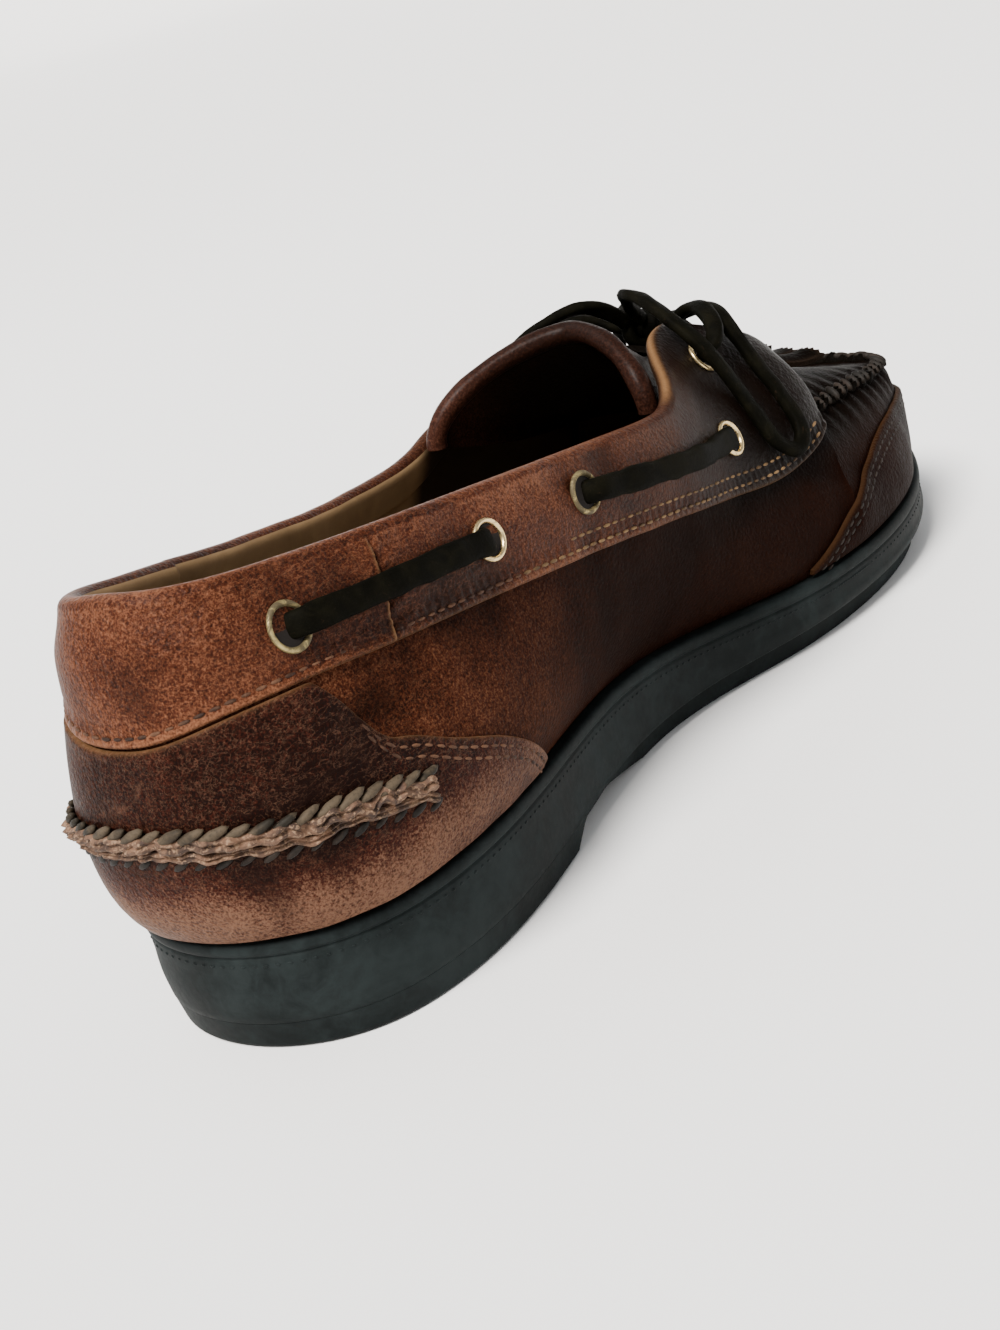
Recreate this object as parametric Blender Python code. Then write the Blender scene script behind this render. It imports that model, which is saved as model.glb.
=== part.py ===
"""Left kiltie moccasin loafer with a rawhide lace, one solid for each piece that a maker cuts.

Frame: metres, +Z up, +Y to the toe, +X to the medial side of the left foot. The origin is the
centre of the heel's ground face. Tables give stations along the sole as shares of SOLE_LENGTH,
half widths as shares of BALL_WIDTH and heights as shares of COLLAR_HEIGHT.
"""

import math

import bmesh
import bpy
import numpy as np

# ---------------------------------------------------------------- driving sizes
MM = 0.001
SOLE_LENGTH = 296 * MM
BALL_WIDTH = 98 * MM
COLLAR_HEIGHT = 95 * MM
HEEL_BACK = -36 * MM          # the sole's rear end, from the origin

GAP = 0.3 * MM                # clearance where two curved pieces meet
UPPER_WALL = 2.2 * MM         # leather and lining together
OVERLAY_WALL = 1.4 * MM       # the leather of counter, guard and eyestays
RIM_WIDTH = 3.0 * MM          # the sole's rim that shows round the upper

# ---------------------------------------------------------------- the sole
# along, half widths of the rim to each side, height of the sole's top, lift of its underside
SOLE_COLUMNS = ("along", "medial", "lateral", "top", "lift")
SOLE_SECTIONS = (
    (0.014, 0.180, 0.180, 0.253, 0.000),
    (0.044, 0.290, 0.290, 0.253, 0.000),
    (0.095, 0.358, 0.362, 0.253, 0.000),
    (0.170, 0.378, 0.388, 0.253, 0.000),
    (0.255, 0.348, 0.394, 0.250, 0.000),
    (0.340, 0.302, 0.406, 0.244, 0.000),
    (0.430, 0.280, 0.428, 0.230, 0.000),
    (0.520, 0.324, 0.468, 0.204, 0.000),
    (0.605, 0.418, 0.500, 0.184, 0.000),
    (0.690, 0.474, 0.514, 0.174, 0.000),
    (0.770, 0.485, 0.496, 0.174, 0.002),
    (0.845, 0.452, 0.438, 0.183, 0.009),
    (0.910, 0.374, 0.332, 0.200, 0.020),
    (0.960, 0.268, 0.196, 0.218, 0.031),
    (0.990, 0.150, 0.062, 0.230, 0.038),
)
TOE_TIP_SIDE = 0.045          # the toe's tip lies this far to the medial side
HEEL_TIP_TOP = 0.253
TOE_TIP_TOP = 0.234
TOE_TIP_LIFT = 0.040

# ---------------------------------------------------------------- the upper's top edge
# foot: where the wall's line starts on the sole; then where it ends, with its height to each side
EDGE_COLUMNS = ("foot", "along", "medial", "lateral", "height", "lateral_height")
COLLAR_EDGE = (
    (0.000, 0.0150, 0.000, 0.000, 1.000, 1.000),
    (0.014, 0.0200, 0.095, 0.095, 0.998, 0.990),
    (0.044, 0.0455, 0.178, 0.178, 0.987, 0.969),
    (0.095, 0.0950, 0.230, 0.230, 0.966, 0.934),
    (0.170, 0.1700, 0.270, 0.270, 0.934, 0.882),
    (0.255, 0.2550, 0.302, 0.298, 0.899, 0.827),
    (0.340, 0.3400, 0.328, 0.320, 0.863, 0.784),
    (0.430, 0.4320, 0.350, 0.340, 0.824, 0.758),
    (0.485, 0.4900, 0.350, 0.345, 0.800, 0.768),
)
TAB_EDGE = (
    (0.525, 0.5300, 0.320, 0.320, 0.804, 0.804),
    (0.555, 0.5620, 0.255, 0.255, 0.838, 0.838),
    (0.582, 0.5930, 0.190, 0.190, 0.873, 0.873),
    (0.608, 0.6230, 0.153, 0.153, 0.889, 0.889),
    (0.632, 0.6540, 0.148, 0.148, 0.876, 0.876),
    (0.654, 0.6860, 0.180, 0.180, 0.832, 0.832),
    (0.672, 0.7160, 0.228, 0.228, 0.777, 0.777),
    (0.687, 0.7340, 0.270, 0.270, 0.695, 0.688),
    (0.698, 0.7320, 0.314, 0.318, 0.600, 0.585),
    (0.706, 0.7200, 0.350, 0.355, 0.526, 0.508),
)
MOC_SEAM_EDGE = (
    (0.706, 0.7200, 0.350, 0.355, 0.526, 0.508),
    (0.768, 0.7740, 0.340, 0.354, 0.515, 0.479),
    (0.845, 0.8440, 0.330, 0.334, 0.494, 0.450),
    (0.914, 0.9050, 0.306, 0.282, 0.472, 0.434),
    (0.962, 0.9470, 0.248, 0.192, 0.457, 0.428),
    (0.990, 0.9720, 0.136, 0.072, 0.446, 0.436),
    (1.000, 0.9790, 0.030, -0.030, 0.441, 0.441),
)
SEAM_START = 0.706            # foot of the column where tab, wall and plug meet

# handles of each wall line: out and up at its foot, out and down at its top, as shares of
# COLLAR_HEIGHT
WALL_COLUMNS = ("foot", "foot_out", "foot_up", "top_out", "top_down")
WALL_SHAPE = (
    (0.000, 0.150, 0.085, 0.065, 0.240),
    (0.170, 0.125, 0.100, 0.060, 0.220),
    (0.340, 0.125, 0.120, 0.055, 0.180),
    (0.430, 0.120, 0.130, 0.065, 0.170),
    (0.520, 0.100, 0.140, 0.090, 0.150),
    (0.600, 0.090, 0.140, 0.150, 0.110),
    (0.680, 0.070, 0.120, 0.110, 0.080),
    (0.760, 0.045, 0.105, 0.070, 0.045),
    (0.900, 0.022, 0.080, 0.055, 0.030),
    (1.000, 0.035, 0.070, 0.060, 0.020),
)

PLUG_SHOULDER = 0.42          # how far in towards the middle the plug's handles reach

# the plug's ridge between the seams: foot of the seam columns, height of the middle
CREST_COLUMNS = ("foot", "height", "forward")
PLUG_CREST = (
    (0.706, 0.745, -0.020),
    (0.745, 0.692, -0.012),
    (0.800, 0.617, -0.006),
    (0.850, 0.557, 0.000),
    (0.880, 0.527, 0.000),
    (0.910, 0.499, 0.000),
    (0.950, 0.469, 0.000),
    (0.978, 0.453, 0.000),
    (1.000, 0.444, 0.000),
)


def column(rows, names, name):
    """One named column of a table."""
    place = names.index(name)
    return [row[place] for row in rows]


def spline(knots, values):
    """Natural cubic spline through rows of values, as a function of a number or an array."""
    knots = np.asarray(knots, float)
    values = np.asarray(values, float)
    count = len(knots)
    step = np.diff(knots)
    system = np.eye(count)
    right = np.zeros(count)
    slope = np.diff(values) / step
    for i in range(1, count - 1):
        system[i, i - 1:i + 2] = step[i - 1], 2 * (step[i - 1] + step[i]), step[i]
        right[i] = 6 * (slope[i] - slope[i - 1])
    bend = np.linalg.solve(system, right)

    def value(at):
        at = np.asarray(at, float)
        i = np.clip(np.searchsorted(knots, at) - 1, 0, count - 2)
        width = step[i]
        a = (knots[i + 1] - at) / width
        b = (at - knots[i]) / width
        cubic = ((a ** 3 - a) * bend[i] + (b ** 3 - b) * bend[i + 1]) * width ** 2 / 6
        return a * values[i] + b * values[i + 1] + cubic
    return value


def turn_of(share):
    """The angle round the sole, 0 at the heel's back and pi at the toe, of a station."""
    return np.arccos(1 - 2 * np.clip(np.asarray(share, float), 0, 1))


def ring_spline(rows, columns, medial, lateral, ends):
    """Spline round the whole sole from -pi to 3 pi, so that both ends run through smoothly."""
    inner = [row for row in rows if 0 < row[0] < 1]
    angles = turn_of([row[0] for row in inner])
    near = column(inner, columns, medial)
    far = [ends[2] * value for value in column(inner, columns, lateral)]
    angles = np.concatenate([[0], angles, [math.pi], 2 * math.pi - angles[::-1]])
    values = np.array([ends[0], *near, ends[1], *far[::-1]])
    around = np.concatenate([angles - 2 * math.pi, angles, angles + 2 * math.pi])
    return spline(around, np.tile(values, 3))


rim_side = ring_spline(SOLE_SECTIONS, SOLE_COLUMNS, "medial", "lateral", (0.0, TOE_TIP_SIDE, -1))
rim_top = ring_spline(SOLE_SECTIONS, SOLE_COLUMNS, "top", "top", (HEEL_TIP_TOP, TOE_TIP_TOP, 1))
rim_lift = ring_spline(SOLE_SECTIONS, SOLE_COLUMNS, "lift", "lift", (0.0, TOE_TIP_LIFT, 1))
SHAPE_ENDS = WALL_SHAPE[0], WALL_SHAPE[-1]
wall_handle = {
    name: ring_spline(WALL_SHAPE, WALL_COLUMNS, name, name,
                      (SHAPE_ENDS[0][i + 1], SHAPE_ENDS[1][i + 1], 1))
    for i, name in enumerate(WALL_COLUMNS[1:])
}


def outline(turn, inset=0.0):
    """Plan points of the sole's rim, and the same moved inwards by inset, with its normals."""
    def rim(at):
        share = (1 - np.cos(at)) / 2
        return np.stack([rim_side(at) * BALL_WIDTH, HEEL_BACK + share * SOLE_LENGTH], -1)
    turn = np.asarray(turn, float)
    ahead = rim(turn + 1e-3) - rim(turn - 1e-3)
    ahead /= np.linalg.norm(ahead, axis=-1, keepdims=True)
    normal = np.stack([ahead[..., 1], -ahead[..., 0]], -1)
    return rim(turn) - normal * inset, normal


def edge_splines():
    """Splines of the upper's top edge: collar with both tabs, and the moc seam round the toe."""
    back_rows = COLLAR_EDGE + TAB_EDGE
    back_turn = turn_of(column(back_rows, EDGE_COLUMNS, "foot"))
    seam_turn = turn_of(column(MOC_SEAM_EDGE, EDGE_COLUMNS, "foot"))
    found = {}
    for name, medial, lateral, sign in (("along", "along", "along", 1),
                                        ("side", "medial", "lateral", -1),
                                        ("height", "height", "lateral_height", 1)):
        near = column(back_rows, EDGE_COLUMNS, medial)
        far = [sign * value for value in column(back_rows, EDGE_COLUMNS, lateral)]
        seam_near = column(MOC_SEAM_EDGE, EDGE_COLUMNS, medial)
        seam_far = [sign * value for value in column(MOC_SEAM_EDGE, EDGE_COLUMNS, lateral)]
        back = spline(np.concatenate([-back_turn[:0:-1], back_turn]), far[:0:-1] + near)
        seam_angles = np.concatenate([seam_turn, 2 * math.pi - seam_turn[-2::-1]])
        seam = spline(seam_angles, seam_near + seam_far[-2::-1])
        found[name] = back, seam
    return found


EDGE = edge_splines()
SEAM_TURN = float(turn_of(SEAM_START))


def top_edge(turn):
    """The upper's top edge above each column: collar, tabs or moc seam."""
    turn = np.mod(np.asarray(turn, float), 2 * math.pi)
    signed = np.where(turn > math.pi, turn - 2 * math.pi, turn)
    behind = np.abs(signed) <= SEAM_TURN
    back_at = np.where(behind, signed, 0)
    seam_at = np.where(behind, math.pi, turn)
    along, side, height = (
        np.where(behind, EDGE[name][0](back_at), EDGE[name][1](seam_at))
        for name in ("along", "side", "height"))
    return np.stack([side * BALL_WIDTH, HEEL_BACK + along * SOLE_LENGTH,
                     height * COLLAR_HEIGHT], -1)


def wall(turn, rise):
    """Outer face of the upper: turn round the sole, rise 0 at the sole to 1 at the top edge."""
    turn = np.asarray(turn, float)
    rise = np.asarray(rise, float)[..., None]
    plan, normal = outline(turn, RIM_WIDTH)
    level = rim_top(turn) * COLLAR_HEIGHT + GAP
    foot = np.concatenate([plan, level[..., None]], -1)
    out = np.concatenate([normal, np.zeros_like(normal[..., :1])], -1)
    top = top_edge(turn)
    size = {name: (handle(turn) * COLLAR_HEIGHT)[..., None]
            for name, handle in wall_handle.items()}
    up = np.array([0.0, 0.0, 1.0])
    low = foot + out * size["foot_out"] + up * size["foot_up"]
    high = top + out * size["top_out"] - up * size["top_down"]
    rest = 1 - rise
    return rest ** 3 * foot + 3 * rest ** 2 * rise * low + 3 * rest * rise ** 2 * high + rise ** 3 * top


def wall_normal(turn, rise):
    """Unit normals of the outer face, pointing out."""
    small = 1e-3
    turn = np.asarray(turn, float)
    rise = np.clip(np.asarray(rise, float), small, 1 - small)
    round_it = wall(turn + small, rise) - wall(turn - small, rise)
    up_it = wall(turn, rise + small) - wall(turn, rise - small)
    normal = np.cross(round_it, up_it)
    return normal / np.linalg.norm(normal, axis=-1, keepdims=True)


crest_height = spline(column(PLUG_CREST, CREST_COLUMNS, "foot"),
                      column(PLUG_CREST, CREST_COLUMNS, "height"))
crest_forward = spline(column(PLUG_CREST, CREST_COLUMNS, "foot"),
                       column(PLUG_CREST, CREST_COLUMNS, "forward"))


def plug(turn, across):
    """Outer face of the plug: turn of its medial seam column, across 0 medial to 1 lateral."""
    turn = np.asarray(turn, float)
    across = np.asarray(across, float)[..., None]
    medial = top_edge(turn)
    lateral = top_edge(2 * math.pi - turn)
    share = (1 - np.cos(turn)) / 2
    middle = (medial + lateral) / 2
    lift = crest_height(share) * COLLAR_HEIGHT - middle[..., 2]
    rise = np.stack([np.zeros_like(lift), crest_forward(share) * SOLE_LENGTH, lift], -1) / 0.75
    low = medial + (middle - medial) * PLUG_SHOULDER + rise
    high = lateral + (middle - lateral) * PLUG_SHOULDER + rise
    rest = 1 - across
    return (rest ** 3 * medial + 3 * rest ** 2 * across * low
            + 3 * rest * across ** 2 * high + across ** 3 * lateral)


def plug_normal(turn, across):
    """Unit normals of the plug, pointing up and out."""
    small = 1e-3
    across = np.clip(np.asarray(across, float), small, 1 - small)
    turn = np.clip(np.asarray(turn, float), SEAM_TURN + small, math.pi - 3 * small)
    ahead = plug(turn + small, across) - plug(turn - small, across)
    over = plug(turn, across + small) - plug(turn, across - small)
    normal = np.cross(over, ahead)
    normal /= np.linalg.norm(normal, axis=-1, keepdims=True)
    return normal * np.where(normal[..., 2:] < 0, -1, 1)


# ---------------------------------------------------------------- more tables
# the sole's side from the top down: inset from the rim's outline and depth below its top
SIDE_COLUMNS = ("inset", "depth")
RIM_SIDE = (
    (1.4 * MM, 0.0 * MM),
    (0.3 * MM, 0.7 * MM),
    (0.0 * MM, 1.9 * MM),
    (0.3 * MM, 3.2 * MM),
    (1.2 * MM, 3.9 * MM),
    (0.9 * MM, 5.2 * MM),
)
WALL_FOOT_INSET = 0.8 * MM    # the midsole's side leans in towards its foot
TREAD = 6.0 * MM              # depth of the outsole under heel and forefoot
TREAD_INSET = (0.9 * MM, 3.4 * MM)  # at the heel and at the forefoot
INSET_TURNS = (0.30, 0.48)    # stations between which the inset grows
TREAD_TAPER = 0.9 * MM
TOE_SETBACK = 6.0 * MM        # the outsole stops short of the toe's tip
SETBACK_FROM = 0.85
ARCH_LIFT = 4.0 * MM
ARCH_RISE = (0.275, 0.300)    # stations between which the heel's breast rises
ARCH_FALL = (0.350, 0.420)
TREAD_EDGE = 0.9 * MM         # the bevel round the ground face

INSOLE_INSET = 6.0 * MM
INSOLE_WALL = 3.5 * MM

# seam lines on the upper's wall: station of the column's foot, height
LINE_COLUMNS = ("foot", "height")
BAND_SEAM = (
    (0.000, 0.708),
    (0.020, 0.732),
    (0.055, 0.744),
    (0.120, 0.724),
    (0.212, 0.686),
    (0.300, 0.645),
    (0.400, 0.596),
    (0.513, 0.530),
    (0.600, 0.472),
    (0.650, 0.455),
    (0.680, 0.476),
    (0.706, 0.520),
)
SEAM_DROP_SHARE = 0.6         # of the lateral edge's drop, that the band's seam follows
COUNTER_EDGE = (
    (0.000, 0.720),
    (0.076, 0.720),
    (0.084, 0.675),
    (0.095, 0.597),
    (0.112, 0.556),
    (0.138, 0.509),
    (0.172, 0.456),
    (0.214, 0.379),
    (0.246, 0.295),
)
COUNTER_FRONT = 0.246
COUNTER_CORNERS = (0.078, 0.092)             # extra columns where the edge leaves the band
COUNTER_LIFT = 0.5 * MM
GUARD_EDGE = (
    (0.630, 0.206),
    (0.652, 0.225),
    (0.676, 0.258),
    (0.704, 0.300),
    (0.744, 0.348),
    (0.791, 0.380),
    (0.838, 0.392),
    (0.890, 0.388),
    (0.941, 0.380),
    (0.968, 0.377),
    (0.985, 0.385),
    (1.000, 0.394),
)
GUARD_START = 0.632
HEEL_SEAM = (
    (0.000, 0.526),
    (0.010, 0.519),
    (0.024, 0.508),
    (0.046, 0.500),
    (0.078, 0.484),
    (0.116, 0.452),
)
HEEL_SEAM_FRONT = 0.116
SEAM_RADIUS = 1.9 * MM
MOC_SEAM_START = 0.045        # angle between the tab's corner and the raised seam's end
COUNTER_FOOT = 2.2 * MM       # the overlays end this far above the sole's rim
GUARD_FOOT = 1.4 * MM
COUNTER_BELOW_BAND = 1.2 * MM

# cross-sections of the tongue: place along, crest, half width to each side, height of edge
TONGUE_COLUMNS = ("along", "crest", "medial", "lateral", "edge")
TONGUE_SECTIONS = (
    (0.762, 0.610, 0.150, 0.150, 0.560),
    (0.722, 0.655, 0.180, 0.180, 0.590),
    (0.680, 0.725, 0.200, 0.205, 0.625),
    (0.645, 0.800, 0.212, 0.222, 0.650),
    (0.610, 0.893, 0.235, 0.262, 0.695),
    (0.5855, 0.955, 0.256, 0.298, 0.755),
)
TONGUE_SWEEP = (12.0 * MM, 27.0 * MM)  # the rim's medial and lateral ends lie behind its middle
SWEEP_ROUND = 1.5
SWEEP_FROM = 0.700            # station from which the tongue's rows bow back
TONGUE_WALL = 2.4 * MM
TONGUE_ROLL = 2.2 * MM        # how much thicker the rolled rim is
ROLL_REACH = 0.012            # share of the sole's length that the roll takes
TONGUE_ROUND = 2.0            # exponent of the arch
# cross-sections of the kiltie
ARCH_COLUMNS = ("along", "crest", "half", "edge")
KILTIE_SECTIONS = (
    (0.645, 0.845, 0.110, 0.820),
    (0.680, 0.795, 0.120, 0.765),
    (0.700, 0.780, 0.140, 0.733),
    (0.722, 0.757, 0.168, 0.697),
    (0.765, 0.702, 0.222, 0.635),
    (0.800, 0.652, 0.255, 0.592),
    (0.828, 0.622, 0.272, 0.575),
)
KILTIE_WALL = 1.6 * MM
KILTIE_ROUND = 2.0
KILTIE_STEPS = 4
KILTIE_REACH = 0.97           # the flap stops short of where its arch turns upright
FRINGE_START = 0.738          # where the strips are cut free
FRINGE_STRIPS = 8
FRINGE_CUT = 0.9 * MM

# places of the eyelets on each side of the band, as in the seam lines
EYELETS = (
    (0.075, 0.842),
    (0.250, 0.783),
    (0.362, 0.753),
    (0.590, 0.612),
    (0.623, 0.784),
)
EYELET_OUTER = 4.4 * MM
EYELET_BORE = 2.7 * MM
EYELET_PROUD = 1.7 * MM
EYELET_SEAT = 0.7 * MM        # clears the band where it curves
EYELET_ROUND = 0.5 * MM
EYELET_SIDES = 12

LACE = 3.6 * MM               # thickness of the rawhide lace
LACE_BEVEL_STEPS = 2          # eight sides
CORD_SPACING = 2.6 * LACE     # between the points of a free stretch
BAR_SHARES = (0.0, 0.04, 0.12, 0.3, 0.5, 0.7, 0.88, 0.96, 1.0)
BAR_SEAT = 1.0 * MM           # the bar's ends dip into their eyelets
BAR_RISE = 1.4 * MM
# routes of the lace past the front eyelets, in millimetres
CROSSING_ROUTE = ((15.0, 168.0, 84.2), (8.0, 170.0, 80.6), (0.0, 171.0, 79.4),
                  (-8.0, 170.0, 80.6), (-15.0, 168.0, 84.2))
KNOT_WRAPS = ((2.1, 12), (-2.1, -16))        # place along the crossing, tilt in degrees
KNOT_RADIUS = 3.3 * MM
KNOT_END_LIFT = 3.9 * MM
MEDIAL_LOOP_ROUTE = ((1.6, 166.9, 82.9), (0.8, 163.3, 88.0), (3.5, 159.0, 91.4),
                     (9.5, 155.0, 91.3), (16.0, 151.0, 89.2), (22.0, 147.8, 86.0),
                     (26.7, 147.0, 82.0), (29.6, 147.8, 77.5), (31.5, 149.5, 72.3),
                     (33.3, 151.3, 66.5), (35.5, 152.3, 61.0), (37.8, 152.6, 55.8),
                     (40.2, 154.5, 51.0), (41.6, 158.4, 48.8), (41.4, 162.6, 50.8),
                     (39.1, 164.6, 56.2), (36.1, 164.8, 62.0), (33.0, 164.6, 67.6),
                     (29.6, 164.6, 73.6), (25.8, 166.4, 79.0), (20.4, 170.6, 82.4),
                     (14.0, 173.6, 82.4), (9.4, 174.8, 81.0), (5.6, 174.8, 80.6))
LATERAL_LOOP_ROUTE = ((-3.2, 166.6, 82.8), (-5.5, 161.8, 87.6), (-10.0, 157.0, 90.0),
                      (-16.0, 151.8, 88.8), (-22.0, 148.2, 86.0), (-26.8, 147.4, 81.8),
                      (-30.2, 148.4, 76.8), (-33.0, 150.6, 71.4), (-35.6, 153.8, 66.4),
                      (-37.4, 158.2, 63.0), (-36.9, 162.8, 64.2), (-34.6, 165.2, 68.4),
                      (-31.4, 166.6, 73.2), (-26.6, 168.4, 78.4), (-20.8, 171.4, 82.2),
                      (-14.2, 173.2, 82.2), (-9.4, 174.3, 80.6), (-5.8, 174.3, 80.4))
END_ROUTE = ((-4.2, 174.6, 85.2), (-11.4, 180.6, 81.6), (-19.0, 187.0, 73.4),
             (-26.0, 193.0, 65.5), (-33.0, 198.5, 59.0), (-39.5, 203.0, 53.0),
             (-45.0, 206.5, 46.0), (-48.5, 208.5, 38.5))
FRONT_END_ROUTE = ((0.3, 177.6, 81.2), (0.6, 182.6, 78.0), (1.0, 190.0, 72.6),
                   (1.1, 198.0, 68.6), (0.5, 206.0, 65.0), (-0.5, 213.5, 60.8),
                   (-1.5, 220.5, 57.2), (-2.4, 227.0, 54.6))

TURN_FINE = 720
COLUMNS_BEHIND = 25           # columns of the upper on each side, behind the seam's start
COLUMNS_AHEAD = 14
COLUMN_SLACK = 0.02
ROWS_BELOW = 6                # rows of the upper below and above the band's seam
ROWS_ABOVE = 5
PLUG_STEPS = 9
SOLE_STEPS = 33               # columns of midsole and outsole on each side
INSOLE_STEPS = 24
MOC_SEAM_STEPS = 41
HEEL_SEAM_STEPS = 25
TONGUE_STEPS = (11, 13)       # along and across
BAND_END = float(turn_of(0.6955))
VAMP_BLEND = 0.06
VAMP_MIDDLE = 0.62


# ---------------------------------------------------------------- solids from grids of points
class Solid:
    """Points and faces of one closed solid, gathered grid by grid."""

    def __init__(self):
        self.points = []
        self.faces = []

    def add(self, points):
        """Adds an array of points and returns their numbers in the same layout."""
        points = np.asarray(points, float)
        first = len(self.points)
        flat = points.reshape(-1, 3)
        self.points.extend(tuple(point) for point in flat)
        return (first + np.arange(len(flat))).reshape(points.shape[:-1])

    def skin(self, numbers, keep=None):
        """Quads between neighbouring rows and columns; keep may leave cells out."""
        for i in range(numbers.shape[0] - 1):
            for j in range(numbers.shape[1] - 1):
                if keep is None or keep[i][j]:
                    corners = (numbers[i][j], numbers[i][j + 1],
                               numbers[i + 1][j + 1], numbers[i + 1][j])
                    self.face(corners)

    def face(self, corners):
        """One face, without the corners that are the same point twice."""
        kept = []
        for corner in corners:
            if int(corner) not in kept:
                kept.append(int(corner))
        if len(kept) > 2:
            self.faces.append(kept)

    def cap(self, ring):
        """Closes a ring with a ladder of faces between its two sides."""
        count = len(ring)
        for i in range(count // 2):
            self.face((ring[i], ring[i + 1], ring[(-i - 1) % count], ring[-i % count]))

    def make(self, name, finish):
        """The named object, its faces turned outwards."""
        mesh = bpy.data.meshes.new(name)
        mesh.from_pydata(self.points, [], self.faces)
        shape = bmesh.new()
        shape.from_mesh(mesh)
        bmesh.ops.triangulate(shape, faces=shape.faces)
        bmesh.ops.recalc_face_normals(shape, faces=shape.faces)
        shape.to_mesh(mesh)
        shape.free()
        mesh.shade_smooth()
        mesh.set_sharp_from_angle(angle=math.radians(40))
        mesh.materials.append(finish)
        made = bpy.data.objects.new(name, mesh)
        bpy.context.scene.collection.objects.link(made)
        return made


def finish_of(name, colour, roughness, metallic=0.0):
    """A Principled material."""
    made = bpy.data.materials.new(name)
    made.use_nodes = True
    shader = made.node_tree.nodes["Principled BSDF"]
    shader.inputs["Base Color"].default_value = (*colour, 1.0)
    shader.inputs["Roughness"].default_value = roughness
    shader.inputs["Metallic"].default_value = metallic
    return made


def slab(outer, inner, keep=None):
    """Closed solid between two equal grids of points, with cells left out where keep is false."""
    solid = Solid()
    top = solid.add(outer)
    low = solid.add(inner)
    rows, columns = top.shape[0] - 1, top.shape[1] - 1
    if keep is None:
        keep = np.ones((rows, columns), bool)
    solid.skin(top, keep)
    solid.skin(low, keep)

    def kept(i, j):
        return 0 <= i < rows and 0 <= j < columns and keep[i][j]
    for i in range(rows + 1):
        for j in range(columns):
            if kept(i - 1, j) != kept(i, j):
                solid.face((top[i][j], top[i][j + 1], low[i][j + 1], low[i][j]))
    for i in range(rows):
        for j in range(columns + 1):
            if kept(i, j - 1) != kept(i, j):
                solid.face((top[i][j], top[i + 1][j], low[i + 1][j], low[i][j]))
    return solid


def even_turns(start, end, count):
    """Turns from start to end, spaced evenly along the longer of the wall's two edges."""
    fine = np.linspace(start, end, TURN_FINE)
    low = np.linalg.norm(np.diff(wall(fine, np.zeros_like(fine)), axis=0), axis=1)
    high = np.linalg.norm(np.diff(wall(fine, np.ones_like(fine)), axis=0), axis=1)
    length = np.concatenate([[0], np.cumsum(np.maximum(low, high))])
    return np.interp(np.linspace(0, length[-1], count), length, fine)


def rise_at(turn, height):
    """How far up its column the wall reaches a height (in metres)."""
    turn = np.atleast_1d(turn)
    height = np.broadcast_to(height, turn.shape)
    steps = np.linspace(0, 1, 81)
    levels = wall(turn[:, None], np.broadcast_to(steps, (len(turn), 81)))[..., 2]
    return np.array([np.interp(h, level, steps) for h, level in zip(height, levels)])


def line_height(rows, turn):
    """Height of a seam line above each column, alike on both sides."""
    share = (1 - np.cos(turn)) / 2
    feet = column(rows, LINE_COLUMNS, "foot")
    line = spline(feet, column(rows, LINE_COLUMNS, "height"))
    return line(np.clip(share, feet[0], feet[-1])) * COLLAR_HEIGHT


def side_drop(turn):
    """How much lower the top edge is on the lateral side; nothing on the medial side."""
    turn = np.asarray(turn, float)
    lateral = np.abs(np.mod(turn + math.pi, 2 * math.pi) - math.pi)
    return top_edge(lateral)[..., 2] - top_edge(turn)[..., 2]


def band_seam(turn):
    """Height of the collar band's lower seam."""
    return line_height(BAND_SEAM, turn) - SEAM_DROP_SHARE * side_drop(turn)


def on_wall(turn, rise, lift):
    """Points at a distance from the upper's outer face."""
    return wall(turn, rise) + wall_normal(turn, rise) * lift


def upper_turns():
    """The upper's columns: medial from the heel to the seam's start, on to the toe, and back."""
    behind = even_turns(0, BAND_END, COLUMNS_BEHIND - 1)
    ahead = even_turns(SEAM_TURN, math.pi, COLUMNS_AHEAD)
    medial = np.concatenate([behind, ahead])
    return np.concatenate([medial, 2 * math.pi - medial[-2:0:-1]])


def columns_between(start, end):
    """The upper's own columns between two turns, with both ends; start may be negative."""
    turns = upper_turns()
    turns = np.concatenate([turns - 2 * math.pi, turns])
    inside = turns[(turns > start + COLUMN_SLACK) & (turns < end - COLUMN_SLACK)]
    return np.concatenate([[start], inside, [end]])


def middle_rise(turn):
    """Rise of the row that follows the band's seam, and runs on at mid height round the vamp."""
    signed = np.mod(turn + math.pi, 2 * math.pi) - math.pi
    band = np.clip(np.abs(signed), 0, BAND_END)
    seam = rise_at(band * np.sign(signed + 1e-9), band_seam(band * np.sign(signed + 1e-9)))
    ahead = np.clip((np.abs(signed) - BAND_END) / VAMP_BLEND, 0, 1)
    return seam * (1 - ahead) + VAMP_MIDDLE * ahead


def make_overlay(name, finish, turns, low, high, rows, lift=GAP, thickness=OVERLAY_WALL):
    """A piece of leather on the upper's own face, between two lines of rises."""
    share = np.linspace(0, 1, rows)[:, None]
    rises = low * (1 - share) + high * share
    around = np.broadcast_to(turns, rises.shape)
    outer = on_wall(around, rises, lift + thickness)
    inner = on_wall(around, rises, lift)
    return slab(outer, inner).make(name, finish)


# ---------------------------------------------------------------- the sole
def sole_turns(count):
    """Even columns round the sole, the same on both sides."""
    medial = even_turns(0, math.pi, count + 1)
    return np.concatenate([medial, 2 * math.pi - medial[-2:0:-1]])


def lift_at(plan):
    """Toe spring: how high the outsole's underside is above the ground, at points in plan."""
    return rim_lift(turn_of((plan[:, 1] - HEEL_BACK) / SOLE_LENGTH)) * COLLAR_HEIGHT


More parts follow.
